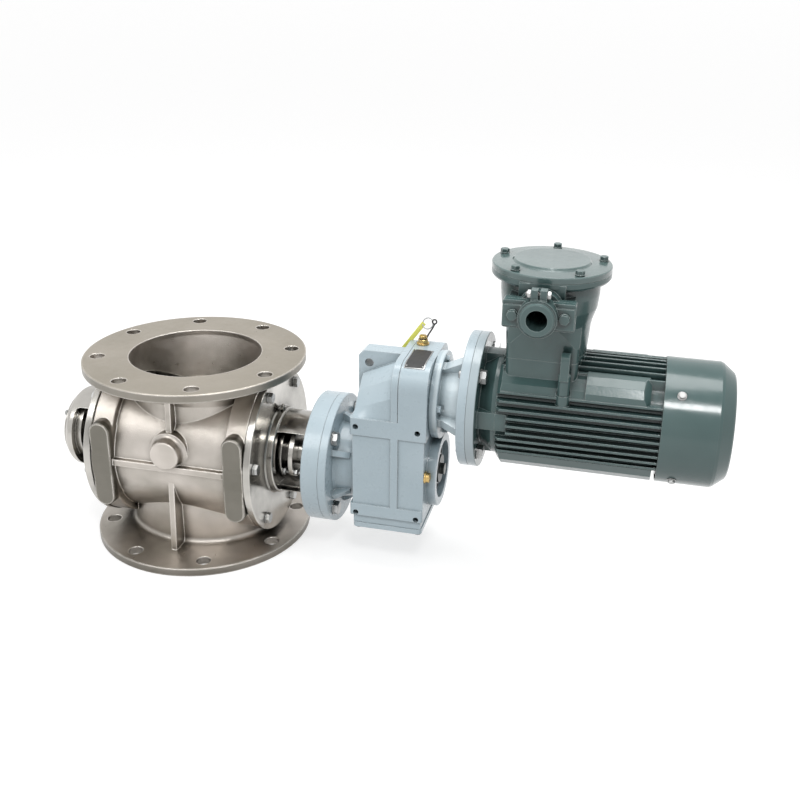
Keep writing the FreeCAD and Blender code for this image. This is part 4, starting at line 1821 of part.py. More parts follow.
def layshaft_inner_rings():
    """Return the inner bearing rings of the layshaft with the spacer between gear and bearing."""
    left, right = lay_bearing_places()
    r = SMALL_BEARING_SHAFT_R
    rings = [inner_ring(x0, SMALL_BEARING_WIDTH, r, small_bearing_split(), LAY_Y, LAY_Z)
             for x0 in (left, right)]
    rings.append(tube_x(FIRST_FACE_X1 + RING_GAP / 2, right - RING_GAP, r + 3, r + FIT, LAY_Y, LAY_Z))
    return group(rings)


def lump(x0, x1, turn):
    """Return one of the four corner lumps round the motor, as a bar turned about its axis."""
    half = SHIELD_LUMP_HALF
    bar = block(x0, x1, -half, half, INPUT_Z + SHIELD_BODY_R - 26, INPUT_Z + SHIELD_BODY_R + 5)
    bar = bar.common(rod_x(x0 - 1, x1 + 1, SHIELD_BODY_R + 3, 0, INPUT_Z))
    bar.rotate(vec(0, 0, INPUT_Z), X_DIR, 90 * turn)
    return bar


def flank(side, polar, x0, x1):
    """Return a bar along the motor whose outline is given in (degrees, radius)."""
    points = [(side * r * math.cos(math.radians(a)), INPUT_Z + r * math.sin(math.radians(a)))
              for a, r in polar]
    return prism_x(points, x0, x1)


def fin_lead():
    """Return the cutter that slants the front ends of fins and bars."""
    x0 = SHIELD_END_X
    return turned([(x0 - 1, STATOR_BASE_R + 3), (x0 + FIN_LEAD, FIN_TIP_R + 3),
                   (x0 + FIN_LEAD, FIN_TIP_R + 9),
                   (x0 - 1, FIN_TIP_R + 9)], 0, INPUT_Z)


def box_seat(z0, z1):
    """Return a slice of the saddle under the terminal box."""
    body = block(BOX_X - BOX_SEAT_HALF_X, BOX_X + BOX_SEAT_HALF_X, -BOX_SEAT_HALF_Y, BOX_SEAT_HALF_Y, z0, z1)
    return body.makeFillet(BOX_SEAT_CORNER, [e for e in body.Edges if e.BoundBox.ZLength > 1])


def cowl_screw_turns():
    """Return the four directions of the cowl screws, in degrees from upright."""
    return (45.0, 135.0, 225.0, 315.0)


def about_motor(shape, degrees):
    """Return a shape drawn on the X axis, moved to the motor's axis and turned about it."""
    shape.translate(vec(0, 0, INPUT_Z))
    shape.rotate(vec(0, 0, INPUT_Z), X_DIR, degrees)
    return shape


def entry_seat():
    """Return the flange, round boss and upright block on the box that carry the cable entry."""
    inner = -BOX_WAIST_R + 15
    flange = wing_plate(ENTRY_SEAT_Y, ENTRY_SEAT_Y + ENTRY_SEAT_T)
    boss = rod_y(ENTRY_SEAT_Y + 1, inner, ENTRY_BODY_R, ENTRY_X, ENTRY_Z)
    back = block(ENTRY_X - ENTRY_BODY_R, ENTRY_X + ENTRY_BODY_R, -BOX_NECK_R - 12, inner,
                 ENTRY_Z - ENTRY_WING_HALF, BOX_RIM_Z - 2)
    stem = block(ENTRY_X - ENTRY_WING + 4, ENTRY_X + ENTRY_WING - 4, ENTRY_SEAT_Y + ENTRY_SEAT_T - 1, inner,
                 ENTRY_Z - ENTRY_WING_HALF + 3, ENTRY_Z + ENTRY_WING_HALF - 4)
    return join([flange, boss, back, stem])


def wing_plate(y0, y1):
    """Return a flat plate across the cable entry with two wings and round corners."""
    plate = block(ENTRY_X - ENTRY_WING, ENTRY_X + ENTRY_WING, y0, y1, ENTRY_Z - ENTRY_WING_HALF,
                  ENTRY_Z + ENTRY_WING_HALF)
    return plate.makeFillet(3.0, [e for e in plate.Edges if e.BoundBox.YLength > 5])


def pinch_z():
    """Return the height of the pinch bolt above the nozzle."""
    return ENTRY_Z + ENTRY_HUB_R + 5


def cable_pinch_bolt():
    """Return the bolt with its nut that pinches the two lugs above the nozzle."""
    y, z = ENTRY_PLATE_Y - 6, pinch_z()
    reach = ENTRY_LUG_GAP / 2 + ENTRY_LUG_T
    shank = rod_x(ENTRY_X - reach - 7, ENTRY_X + reach + 1, PINCH_R, y, z)
    head = hexagon_x(ENTRY_X + reach, ENTRY_X + reach + 5, PINCH_AF, y, z)
    nut = hexagon_x(ENTRY_X - reach - 5, ENTRY_X - reach, PINCH_AF, y, z)
    return join([shank, head, nut])


def rotor_bearing_split():
    """Return the radius between the rings of the shaft bearings."""
    return (SHAFT_R + BEARING_R) / 2


PIECES = {
    "valve_body": valve_body,
    "end_cover_drive": lambda: end_cover(PEDESTAL_END_DRIVE, False),
    "end_cover_free": lambda: flipped(end_cover(PEDESTAL_END_FREE, True)),
    "cover_gaskets": cover_gaskets,
    "cover_bolts": cover_bolts,
    "packing_rings": packing_rings,
    "gland_follower_drive": gland_follower,
    "gland_follower_free": lambda: flipped(gland_follower()),
    "gland_studs": gland_studs,
    "rotor_bearing_outer_rings": rotor_bearing_outer_rings,
    "bearing_cap_free": bearing_cap_free,
    "bearing_cap_screws": bearing_cap_screws,
    "purge_plugs": purge_plugs,
    "adapter_flange": adapter_flange,
    "adapter_screws": adapter_screws,
    "gearbox_flange": gearbox_flange,
    "gearbox_flange_bolts": lambda: disc_bolts(GEAR_FLANGE_X1, GEAR_FLANGE_T + GEAR_BOLT_REACH, AXIS_Z),
    "neck_screws": neck_screws,
    "gearbox_case": gearbox_case,
    "gearbox_base_cover": gearbox_base_cover,
    "base_cover_screws": base_cover_screws,
    "gearbox_bearing_outer_rings": gearbox_bearing_outer_rings,
    "shaft_seals": shaft_seals,
    "breather": breather,
    "oil_plugs": oil_plugs,
    "motor_adapter": motor_adapter,
    "motor_adapter_screws": motor_adapter_screws,
    "motor_flange_bolts": lambda: disc_bolts(MOTOR_DISC_X1, MOTOR_DISC_T + MOTOR_BOLT_REACH, INPUT_Z),
    "motor_front_shield": motor_front_shield,
    "stator_housing": stator_housing,
    "stator_core": stator_core,
    "stator_windings": stator_windings,
    "motor_bearing_outer_rings": motor_bearing_outer_rings,
    "motor_rear_shield": motor_rear_shield,
    "fan_cowl": fan_cowl,
    "cowl_screws": cowl_screws,
    "terminal_box": terminal_box,
    "terminal_lid": terminal_lid,
    "lid_bolts": lid_bolts,
    "terminal_block": terminal_block,
    "cable_entry": cable_entry,
    "cable_entry_bolts": cable_entry_bolts,
    "cable_pinch_bolt": cable_pinch_bolt,
    "lifting_eye": lifting_eye,
    "rotor": rotor,
    "rotor_shaft": rotor_shaft,
    "shaft_keys": shaft_keys,
    "rotor_bearing_inner_rings": rotor_bearing_inner_rings,
    "output_gear": output_gear,
    "output_hollow_shaft": output_hollow_shaft,
    "shaft_retainer": shaft_retainer,
    "layshaft": layshaft,
    "layshaft_gear": layshaft_gear,
    "layshaft_inner_rings": layshaft_inner_rings,
    "input_shaft": input_shaft,
    "input_bearing_inner_rings": input_bearing_inner_rings,
    "motor_shaft": motor_shaft,
    "motor_rotor_core": motor_rotor_core,
    "motor_key": lambda: motor_key_space(0.0),
    "cooling_fan": cooling_fan,
}


def main():
    """Build every piece and write its STEP file."""
    os.makedirs("parts", exist_ok=True)
    for name, build in PIECES.items():
        save(name, build())


main()
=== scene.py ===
"""Looks of a rotary airlock valve with its gear unit and motor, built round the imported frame.

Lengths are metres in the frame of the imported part: +X from the valve towards the motor, +Z up, and the
origin at the centre of the outlet flange's underside.
"""

import json
import logging
import math
from dataclasses import dataclass, field, replace
from enum import Enum
from typing import Any, Dict, List, Sequence, Tuple

import bpy
from mathutils import Matrix, Quaternion, Vector

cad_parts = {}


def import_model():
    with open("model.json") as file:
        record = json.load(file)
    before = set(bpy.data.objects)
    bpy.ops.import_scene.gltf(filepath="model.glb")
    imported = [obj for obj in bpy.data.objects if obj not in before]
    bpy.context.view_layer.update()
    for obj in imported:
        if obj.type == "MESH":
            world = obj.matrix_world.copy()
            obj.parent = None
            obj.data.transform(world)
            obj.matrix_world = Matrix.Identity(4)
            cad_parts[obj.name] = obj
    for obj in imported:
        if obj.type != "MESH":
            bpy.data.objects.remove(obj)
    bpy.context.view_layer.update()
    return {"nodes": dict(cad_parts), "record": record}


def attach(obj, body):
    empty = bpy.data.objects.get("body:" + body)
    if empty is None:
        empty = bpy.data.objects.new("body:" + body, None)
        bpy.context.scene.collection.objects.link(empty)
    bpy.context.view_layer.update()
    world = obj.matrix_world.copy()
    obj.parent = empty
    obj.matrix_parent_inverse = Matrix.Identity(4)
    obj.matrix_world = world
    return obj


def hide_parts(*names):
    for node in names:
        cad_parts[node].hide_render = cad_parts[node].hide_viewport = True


LOG = logging.getLogger("airlock_valve")
BODY = "frame"  # body that every made piece rides on
MM = 0.001
Colour = Tuple[float, float, float]
Point = Tuple[float, float, float]
Piece = bpy.types.Object
Tree = bpy.types.NodeTree
Node = bpy.types.Node
Socket = bpy.types.NodeSocket

FINE_RATIO = 9.0  # fine mottle's waves for each slow one
BEVEL_SHARE = 0.7  # width of the shaded bevel, as a share of the coloured edge's
RAY_SAMPLES = 4  # rays of each Bevel and Ambient Occlusion node
MIX_COLOURS = (6, 7)  # colour inputs of a Mix node
MIX_RESULT = 2  # its colour output
WHITE = (1.0, 1.0, 1.0, 1.0)
HEX_ROOM = 1.02  # room round a hexagon's corners below its chamfer
HEX_FACE = 0.97  # round face above the chamfer, as a share of the width across flats
OVERLAP = 1 * MM  # how far a cutting piece reaches past the cut
TRIM_EDGE = 0.25 * MM  # rounding of the tag and its strap
ANY_RADIUS = (-1.0, 9.0)  # inner and outer radius of a zone that isn't round


def mm(*values: float) -> Tuple[float, ...]:
    """Turn millimetres into metres."""
    return tuple(value * MM for value in values)


# Shader groups


def fill(tree: Tree, node: Node, inputs: Dict[Any, Any]) -> None:
    """Fill a node's inputs.

    Args:
        tree: tree that the node is in.
        node: the node.
        inputs: socket, number or colour of each input, by its name or index.
    """
    for key, source in inputs.items():
        if isinstance(source, Socket):
            tree.links.new(source, node.inputs[key])
        else:
            node.inputs[key].default_value = source


def add_node(tree: Tree, kind: str, inputs: Dict[Any, Any], **options: Any) -> Node:
    """Add a shader node.

    Args:
        tree: tree that gets the node.
        kind: its type, without the word ShaderNode.
        inputs: socket, number or colour of each input, by its name or index.
        options: settings of the node.

    Returns:
        The node.
    """
    node = tree.nodes.new("ShaderNode" + kind)
    for option, value in options.items():
        setattr(node, option, value)
    fill(tree, node, inputs)
    return node


def math_node(tree: Tree, kind: str, *sources: Any, clamp: bool = False) -> Socket:
    """Add a Math node.

    Args:
        tree: tree that gets the node.
        kind: operation.
        sources: sockets or numbers.
        clamp: keep the result between 0 and 1.

    Returns:
        The result's socket.
    """
    return add_node(tree, "Math", dict(enumerate(sources)), operation=kind, use_clamp=clamp).outputs[0]


def object_place(tree: Tree) -> Socket:
    """Return the Object coordinates' socket."""
    return add_node(tree, "TexCoord", {}).outputs["Object"]


def noise_node(tree: Tree, scale: Socket, detail: float, rough: float) -> Socket:
    """Add a noise on Object coordinates.

    Args:
        tree: tree that gets the nodes.
        scale: socket with the waves per metre.
        detail: octaves.
        rough: weight of the finer octaves.

    Returns:
        The noise's value socket.
    """
    inputs = {"Vector": object_place(tree), "Scale": scale, "Detail": detail, "Roughness": rough}
    return add_node(tree, "TexNoise", inputs).outputs["Fac"]


def new_group(name: str, inputs: Dict[str, float], outputs: Sequence[str]) -> Tuple[Tree, Any, Node]:
    """Make an empty shader group with number sockets.

    Args:
        name: name of the group.
        inputs: name and default of each input.
        outputs: name of each output.

    Returns:
        The node tree, the sockets of its inputs by name, and its output node.
    """
    tree = bpy.data.node_groups.new(name, "ShaderNodeTree")
    for label, value in inputs.items():
        socket = tree.interface.new_socket(name=label, in_out="INPUT", socket_type="NodeSocketFloat")
        socket.default_value = value
    for label in outputs:
        tree.interface.new_socket(name=label, in_out="OUTPUT", socket_type="NodeSocketFloat")
    return tree, tree.nodes.new("NodeGroupInput").outputs, tree.nodes.new("NodeGroupOutput")


def mottle_group() -> Tree:
    """Build the group that gives slow and fast unevenness of a surface.

    Returns:
        Group with inputs Scale and Contrast, and outputs Slow and Fine, both about 0.5 on average.
    """
    tree, given, sink = new_group("surface_mottle", {"Scale": 18.0, "Contrast": 1.5}, ("Slow", "Fine"))
    slow = noise_node(tree, given["Scale"], 3.0, 0.55)
    quick = noise_node(tree, math_node(tree, "MULTIPLY", given["Scale"], FINE_RATIO), 4.0, 0.6)
    for value, label in ((slow, "Slow"), (quick, "Fine")):
        middle = math_node(tree, "SUBTRACT", value, 0.5)
        spread = math_node(tree, "MULTIPLY", middle, given["Contrast"])
        fill(tree, sink, {label: math_node(tree, "ADD", spread, 0.5, clamp=True)})
    return tree


def edge_group() -> Tree:
    """Build the group that finds edges, for edge wear and painted edge highlights.

    Returns:
        Group with inputs Radius, Strength and Breakup, and output Edge, from 0 to 1.
    """
    tree, given, sink = new_group("edge_wear_and_highlight", {"Radius": 0.002, "Strength": 6.0, "Breakup": 60.0}, ("Edge",))
    rounded = add_node(tree, "Bevel", {"Radius": given["Radius"]}, samples=RAY_SAMPLES).outputs["Normal"]
    plain = add_node(tree, "NewGeometry", {}).outputs["Normal"]
    dot = add_node(tree, "VectorMath", {0: rounded, 1: plain}, operation="DOT_PRODUCT").outputs["Value"]
    wear = math_node(tree, "MULTIPLY", math_node(tree, "SUBTRACT", 1.0, dot), given["Strength"])
    broken = noise_node(tree, given["Breakup"], 4.0, 0.65)
    fill(tree, sink, {"Edge": math_node(tree, "MULTIPLY", wear, broken, clamp=True)})
    return tree


def grain_group() -> Tree:
    """Build the group that gives the height of a cast, blasted or sprayed grain.

    Returns:
        Group with inputs Scale, Lump Scale and Lumps, and output Height.
    """
    inputs = {"Scale": 900.0, "Lump Scale": 60.0, "Lumps": 0.5}
    tree, given, sink = new_group("surface_grain", inputs, ("Height",))
    fine = noise_node(tree, given["Scale"], 3.0, 0.6)
    lumps = math_node(tree, "MULTIPLY", noise_node(tree, given["Lump Scale"], 2.0, 0.5), given["Lumps"])
    fill(tree, sink, {"Height": math_node(tree, "ADD", fine, lumps)})
    return tree


def turning_group() -> Tree:
    """Build the group that gives fine tool marks round an axis through a point.

    Returns:
        Group with a Centre and an Across input along X, Y and Z, input Lines, and output Height.
    """
    inputs = {"Lines": 900.0}
    for letter in "XYZ":
        inputs.update({"Centre " + letter: 0.0, "Across " + letter: 1.0})
    tree, given, sink = new_group("turning_marks", inputs, ("Height",))
    split = add_node(tree, "SeparateXYZ", {0: object_place(tree)}).outputs
    total = 0.0
    for letter in "XYZ":
        offset = math_node(tree, "SUBTRACT", split[letter], given["Centre " + letter])
        offset = math_node(tree, "MULTIPLY", offset, given["Across " + letter])
        total = math_node(tree, "ADD", total, math_node(tree, "MULTIPLY", offset, offset))
    place = math_node(tree, "MULTIPLY", math_node(tree, "SQRT", total), given["Lines"])
    wave = add_node(tree, "TexNoise", {}, noise_dimensions="1D")
    fill(tree, wave, {"W": place, "Scale": 1.0, "Detail": 2.0})
    fill(tree, sink, {"Height": wave.outputs["Fac"]})
    return tree


def painted_shade_group() -> Tree:
    """Build the group that finds hollows, where little light comes, for painting shade into them.

    Returns:
        Group with inputs Reach, Strength and Breakup, and output Hollow, from 0 to 1.
    """
    inputs = {"Reach": 0.02, "Strength": 1.0, "Breakup": 40.0}
    tree, given, sink = new_group("hollow_shade", inputs, ("Hollow",))
    open_share = add_node(tree, "AmbientOcclusion", {"Distance": given["Reach"]}, samples=RAY_SAMPLES)
    closed = math_node(tree, "SUBTRACT", 1.0, open_share.outputs["AO"])
    uneven = math_node(tree, "ADD", noise_node(tree, given["Breakup"], 3.0, 0.6), 0.5)
    strong = math_node(tree, "MULTIPLY", closed, given["Strength"])
    fill(tree, sink, {"Hollow": math_node(tree, "MULTIPLY", strong, uneven, clamp=True)})
    return tree


def zone_group() -> Tree:
    """Build the group that masks a zone: a box mirrored in X and Y, between two radii about the Z axis.

    Returns:
        Group with a Middle and a Half input along X, Y and Z, inputs Inner, Outer, Soft and Share, and
        output Mask.
    """
    inputs = {"Inner": ANY_RADIUS[0], "Outer": ANY_RADIUS[1], "Soft": 0.002, "Share": 1.0}
    for letter in "XYZ":
        inputs.update({"Middle " + letter: 0.0, "Half " + letter: 1.0})
    tree, given, sink = new_group("zone_mask", inputs, ("Mask",))
    split = add_node(tree, "SeparateXYZ", {0: object_place(tree)}).outputs
    squares = [math_node(tree, "MULTIPLY", split[letter], split[letter]) for letter in "XY"]
    radius = math_node(tree, "SQRT", math_node(tree, "ADD", *squares))
    depths = [math_node(tree, "SUBTRACT", radius, given["Inner"]),
              math_node(tree, "SUBTRACT", given["Outer"], radius)]
    for letter in "XYZ":
        value = split[letter] if letter == "Z" else math_node(tree, "ABSOLUTE", split[letter])
        away = math_node(tree, "ABSOLUTE", math_node(tree, "SUBTRACT", value, given["Middle " + letter]))
        depths.append(math_node(tree, "SUBTRACT", given["Half " + letter], away))
    total = given["Share"]
    for depth in depths:
        level = math_node(tree, "ADD", math_node(tree, "DIVIDE", depth, given["Soft"]), 0.5, clamp=True)
        total = math_node(tree, "MULTIPLY", total, level)
    fill(tree, sink, {"Mask": total})
    return tree


def mix_colours(tree: Tree, factor: Socket, first: Any, second: Colour) -> Socket:
    """Mix two colours.

    Args:
        tree: the material's tree.
        factor: socket that goes from the first colour to the second.
        first: colour or socket.
        second: colour.

    Returns:
        The mixed colour's socket.
    """
    if not isinstance(first, Socket):
        first = (*first, 1.0)
    colours = dict(zip(MIX_COLOURS, (first, (*second, 1.0))))
    return add_node(tree, "Mix", {"Factor": factor, **colours}, data_type="RGBA").outputs[MIX_RESULT]


@dataclass(frozen=True)
class ShaderKit:
    """The shader groups that the finishes share."""

    mottle: Tree
    edge: Tree
    grain: Tree
    turning: Tree
    shade_painter: Tree
    zone: Tree

    @classmethod
    def build(cls) -> "ShaderKit":
        """Make every group once."""
        return cls(mottle_group(), edge_group(), grain_group(), turning_group(), painted_shade_group(), zone_group())


@dataclass(frozen=True)
class Zone:
    """A part of a surface with a colour of its own, painted shade or painted light: a box mirrored in X and
    Y, between two radii.
    """

    middle: Point
    half: Point
    colour: Colour
    soft: float = 0.002
    share: float = 1.0
    radii: Tuple[float, float] = ANY_RADIUS

    def values(self) -> Dict[str, float]:
        """Return the input values of the zone's shader group."""
        values = {"Inner": self.radii[0], "Outer": self.radii[1], "Soft": self.soft, "Share": self.share}
        for letter, middle, half in zip("XYZ", self.middle, self.half):
            values.update({"Middle " + letter: middle, "Half " + letter: half})
        return values


@dataclass(frozen=True)
class Finish:
    """One finish: its colours, gloss, grain, edge wear and painted edge highlights, and painted shade in its
    hollows.

    Colours are linear. Depths are metres.
    """

    name: str
    colour: Colour
    light: Colour
    edge_colour: Colour
    metallic: float = 0.0
    rough: Tuple[float, float] = (0.35, 0.5)
    mottle_scale: float = 18.0
    mottle_contrast: float = 1.6
    grain_scale: float = 900.0
    grain_depth: float = 0.00005
    lump_scale: float = 60.0
    lumps: float = 0.4
    edge_radius: float = 0.0015
    edge_strength: float = 5.0
    specular: float = 0.5
    coat: float = 0.0
    coat_rough: float = 0.15
    turned_about: Tuple[Point, Point, float] | None = None
    zones: Tuple[Zone, ...] = ()
    # Painted shade in hollows: its colour, its reach and its strength
    painted_shade_colour: Colour | None = None
    painted_shade_reach: float = 0.02
    painted_shade_strength: float = 1.0

    def build(self, kit: ShaderKit) -> bpy.types.Material:
        """Make the material.

        Args:
            kit: the shared shader groups.

        Returns:
            The material.
        """
        material = bpy.data.materials.new(self.name)
        material.use_nodes = True
        tree = material.node_tree
        values = {"Scale": self.mottle_scale, "Contrast": self.mottle_contrast}
        mottle = add_node(tree, "Group", values, node_tree=kit.mottle).outputs
        colour = mix_colours(tree, mottle["Slow"], self.colour, self.light)
        # Zones: colours of the piece's own, and on some pieces painted shade and painted light
        for zone in self.zones:
            mask = add_node(tree, "Group", zone.values(), node_tree=kit.zone)
            colour = mix_colours(tree, mask.outputs["Mask"], colour, zone.colour)
        # Painted shade: the colour darkens in hollows, where little light comes
        if self.painted_shade_colour:
            values = {"Reach": self.painted_shade_reach, "Strength": self.painted_shade_strength}
            hollow = add_node(tree, "Group", values, node_tree=kit.shade_painter)
            colour = mix_colours(tree, hollow.outputs["Hollow"], colour, self.painted_shade_colour)
        # Edge colour: wear, and on the enamel partly a painted highlight along edges and fin crests
        values = {"Radius": self.edge_radius, "Strength": self.edge_strength}
        edge = add_node(tree, "Group", values, node_tree=kit.edge)
        low, high = self.rough
        spread = add_node(tree, "MapRange", {"Value": mottle["Fine"], "To Min": low, "To Max": high})
        bevel = add_node(tree, "Bevel", {"Radius": self.edge_radius * BEVEL_SHARE}, samples=RAY_SAMPLES)
        bump = add_node(tree, "Bump", {"Strength": 1.0, "Distance": self.grain_depth,
                                       "Height": self.height(tree, kit), "Normal": bevel.outputs["Normal"]})
        fill(tree, tree.nodes["Principled BSDF"], {
            "Base Color": mix_colours(tree, edge.outputs["Edge"], colour, self.edge_colour),
            "Metallic": self.metallic, "Roughness": spread.outputs["Result"],
            "Specular IOR Level": self.specular, "Coat Weight": self.coat, "Coat Roughness": self.coat_rough,
            "Normal": bump.outputs["Normal"]})
        return material

    def height(self, tree: Tree, kit: ShaderKit) -> Socket:
        """Return the socket of the surface's height: tool marks if it is turned, or else grain."""
        if self.turned_about:
            centre, across, lines = self.turned_about
            values = {"Lines": lines}
            for letter, middle, part in zip("XYZ", centre, across):
                values.update({"Centre " + letter: middle, "Across " + letter: part})
            return add_node(tree, "Group", values, node_tree=kit.turning).outputs["Height"]
        values = {"Scale": self.grain_scale, "Lump Scale": self.lump_scale, "Lumps": self.lumps}
        return add_node(tree, "Group", values, node_tree=kit.grain).outputs["Height"]


SHAFT_Z = 149 * MM
MOTOR_Z = 273.30541 * MM

OPEN = 1.0  # half size of a zone that goes right through
RIM_RADII = (0.1685, 9.0)  # outer edges of both flanges
# Painted shade: the pad faces and both flange rims get darker colours that stand in for dark reflections, the
# lower rim darkest
PAD_PAINTED_SHADE = Zone((0.106, 0.127, SHAFT_Z), (0.019, 0.013, 0.074), (0.125, 0.12, 0.10), 0.004, 0.85)
INLET_FACE = Zone((0.0, 0.0, 0.298), (OPEN, OPEN, 0.0008), (0.36, 0.32, 0.25), 0.0006, 0.7)
INLET_RIM_PAINTED_SHADE = Zone((0.0, 0.0, 0.2875), (OPEN, OPEN, 0.0095), (0.17, 0.158, 0.132), 0.001, 0.7, RIM_RADII)
OUTLET_RIM_PAINTED_SHADE = Zone((0.0, 0.0, 0.0085), (OPEN, OPEN, 0.0095), (0.13, 0.12, 0.10), 0.001, 0.7, RIM_RADII)
DISC_RIM = Zone((0.451, 0.0, 0.273), (0.0068, OPEN, OPEN), (0.38, 0.45, 0.48), 0.0006)
# Painted light: lightens the adapter's cone to stand in for the highlights on it
CONE_PAINTED_LIGHT = Zone((0.412, 0.0, 0.273), (0.020, OPEN, OPEN), (0.60, 0.68, 0.71), 0.002, 0.7)

# Each finish's hollow colour below is painted shade that darkens its hollows
CAST = Finish("cast_stainless", (0.33, 0.308, 0.272), (0.60, 0.555, 0.512), (0.92, 0.88, 0.82), metallic=1.0,
              rough=(0.27, 0.42), mottle_scale=11.0, mottle_contrast=2.2, grain_scale=620.0,
              grain_depth=0.00028, lump_scale=70.0, lumps=0.7, edge_radius=0.0034, edge_strength=9.0,
              zones=(PAD_PAINTED_SHADE, INLET_FACE, INLET_RIM_PAINTED_SHADE, OUTLET_RIM_PAINTED_SHADE), painted_shade_colour=(0.085, 0.076, 0.062),
              painted_shade_reach=0.018, painted_shade_strength=1.2)
TURNED = Finish("turned_stainless", (0.33, 0.32, 0.297), (0.60, 0.58, 0.545), (0.90, 0.88, 0.83),
                metallic=1.0, rough=(0.14, 0.26), mottle_scale=10.0, mottle_contrast=2.4, grain_depth=0.00003,
                edge_radius=0.0012, turned_about=((0.0, 0.0, SHAFT_Z), (0.2, 1.0, 1.0), 900.0),
                painted_shade_colour=(0.05, 0.047, 0.04), painted_shade_reach=0.016, painted_shade_strength=1.4)
GREY = Finish("grey_paint", (0.35, 0.435, 0.48), (0.42, 0.505, 0.55), (0.58, 0.65, 0.68), rough=(0.2, 0.44),
              mottle_scale=9.0, mottle_contrast=2.0, grain_scale=420.0, grain_depth=0.00018, lump_scale=40.0,
              edge_radius=0.0018, edge_strength=5.0, coat=0.45, coat_rough=0.12,
              painted_shade_colour=(0.10, 0.14, 0.155), painted_shade_reach=0.018, painted_shade_strength=1.1)
# The enamel's light edge colour is partly wear and partly a painted highlight along its edges and fin crests
ENAMEL = Finish("motor_enamel", (0.046, 0.090, 0.088), (0.074, 0.124, 0.121), (0.36, 0.44, 0.43),
                rough=(0.12, 0.26), mottle_scale=9.0, mottle_contrast=2.2, grain_scale=300.0,
                grain_depth=0.00012, lumps=0.8, edge_radius=0.0022, edge_strength=3.5, specular=0.55,
                coat=0.1, coat_rough=0.08, painted_shade_colour=(0.008, 0.016, 0.016), painted_shade_reach=0.016,
                painted_shade_strength=1.5)

FINISHES: Dict[str, Finish] = {finish.name: finish for finish in (
    CAST,
    TURNED,
    GREY,
    ENAMEL,
    replace(GREY, name="case_aluminium", edge_radius=0.0022),
    replace(ENAMEL, name="housing_aluminium"),
    replace(ENAMEL, name="cowl_sheet", mottle_scale=7.0, grain_depth=0.00003, edge_radius=0.001,
            edge_strength=4.0, painted_shade_strength=0.8),
    Finish("rotor_steel", (0.42, 0.41, 0.39), (0.52, 0.51, 0.48), (0.66, 0.64, 0.6), metallic=1.0,
           rough=(0.24, 0.36), grain_depth=0.00003),
    Finish("zinc_bolts", (0.34, 0.35, 0.35), (0.50, 0.50, 0.49), (0.78, 0.78, 0.76), metallic=1.0,
           rough=(0.22, 0.38), grain_depth=0.00002, edge_radius=0.0006, painted_shade_colour=(0.04, 0.04, 0.04),
           painted_shade_reach=0.006, painted_shade_strength=1.2),
    Finish("gasket", (0.045, 0.043, 0.04), (0.07, 0.068, 0.06), (0.1, 0.1, 0.09), rough=(0.7, 0.85)),
    Finish("bearing_steel", (0.55, 0.55, 0.55), (0.65, 0.65, 0.65), (0.8, 0.8, 0.8), metallic=1.0,
           rough=(0.12, 0.2), grain_depth=0.00001, edge_radius=0.0006),
    Finish("gear_steel", (0.20, 0.20, 0.205), (0.28, 0.28, 0.28), (0.5, 0.5, 0.5), metallic=1.0,
           rough=(0.2, 0.32), grain_depth=0.00001, edge_radius=0.0006),
    Finish("seal_rubber", (0.02, 0.02, 0.02), (0.035, 0.035, 0.035), (0.05, 0.05, 0.05), rough=(0.5, 0.65)),
    Finish("brass", (0.50, 0.34, 0.12), (0.62, 0.45, 0.20), (0.85, 0.68, 0.35), metallic=1.0,
           rough=(0.22, 0.35), grain_depth=0.00002, edge_radius=0.0006),
    Finish("core_laminate", (0.06, 0.06, 0.062), (0.08, 0.08, 0.08), (0.15, 0.15, 0.15), metallic=0.6,
           rough=(0.4, 0.5)),
    Finish("winding", (0.32, 0.10, 0.03), (0.42, 0.15, 0.05), (0.5, 0.2, 0.08), rough=(0.3, 0.4), coat=0.5),
    Finish("moulding", (0.02, 0.02, 0.02), (0.03, 0.03, 0.03), (0.05, 0.05, 0.05), rough=(0.45, 0.6)),
)}

# Nodes whose finish differs in part from that of their material slot
SPECIAL: Dict[str, Finish] = {
    "motor_front_shield": replace(ENAMEL, name="motor_enamel_disc", edge_strength=2.0, painted_shade_strength=0.8,
                                  zones=(DISC_RIM,)),
    "motor_adapter": replace(GREY, name="grey_paint_cone", grain_depth=0.0003, zones=(CONE_PAINTED_LIGHT,)),
    # Painted light: the lid's lighter mottle stands in for the light and highlights on its top
    "terminal_lid": replace(ENAMEL, name="motor_enamel_lid", light=(0.11, 0.165, 0.16), grain_scale=360.0,
                            grain_depth=0.0003, rough=(0.16, 0.26), specular=0.6, coat=0.6),
    "breather_tag": Finish("tag_yellow", (0.62, 0.62, 0.10), (0.74, 0.74, 0.16), (0.8, 0.8, 0.3),
                           rough=(0.3, 0.45), grain_depth=0.00002, edge_radius=0.0005),
    "breather_tag_ring": Finish("tag_white", (0.42, 0.43, 0.43), (0.5, 0.5, 0.5), (0.6, 0.6, 0.6),
                                rough=(0.3, 0.4), grain_depth=0.00001, edge_radius=0.0004),
    # The retainer's near-black colour is partly its dark paint and partly painted shade on its face
    "shaft_retainer": Finish("retainer_black_and_shade", (0.03, 0.034, 0.032), (0.05, 0.055, 0.052), (0.12, 0.13, 0.12),
                             metallic=0.5, rough=(0.25, 0.4)),
}


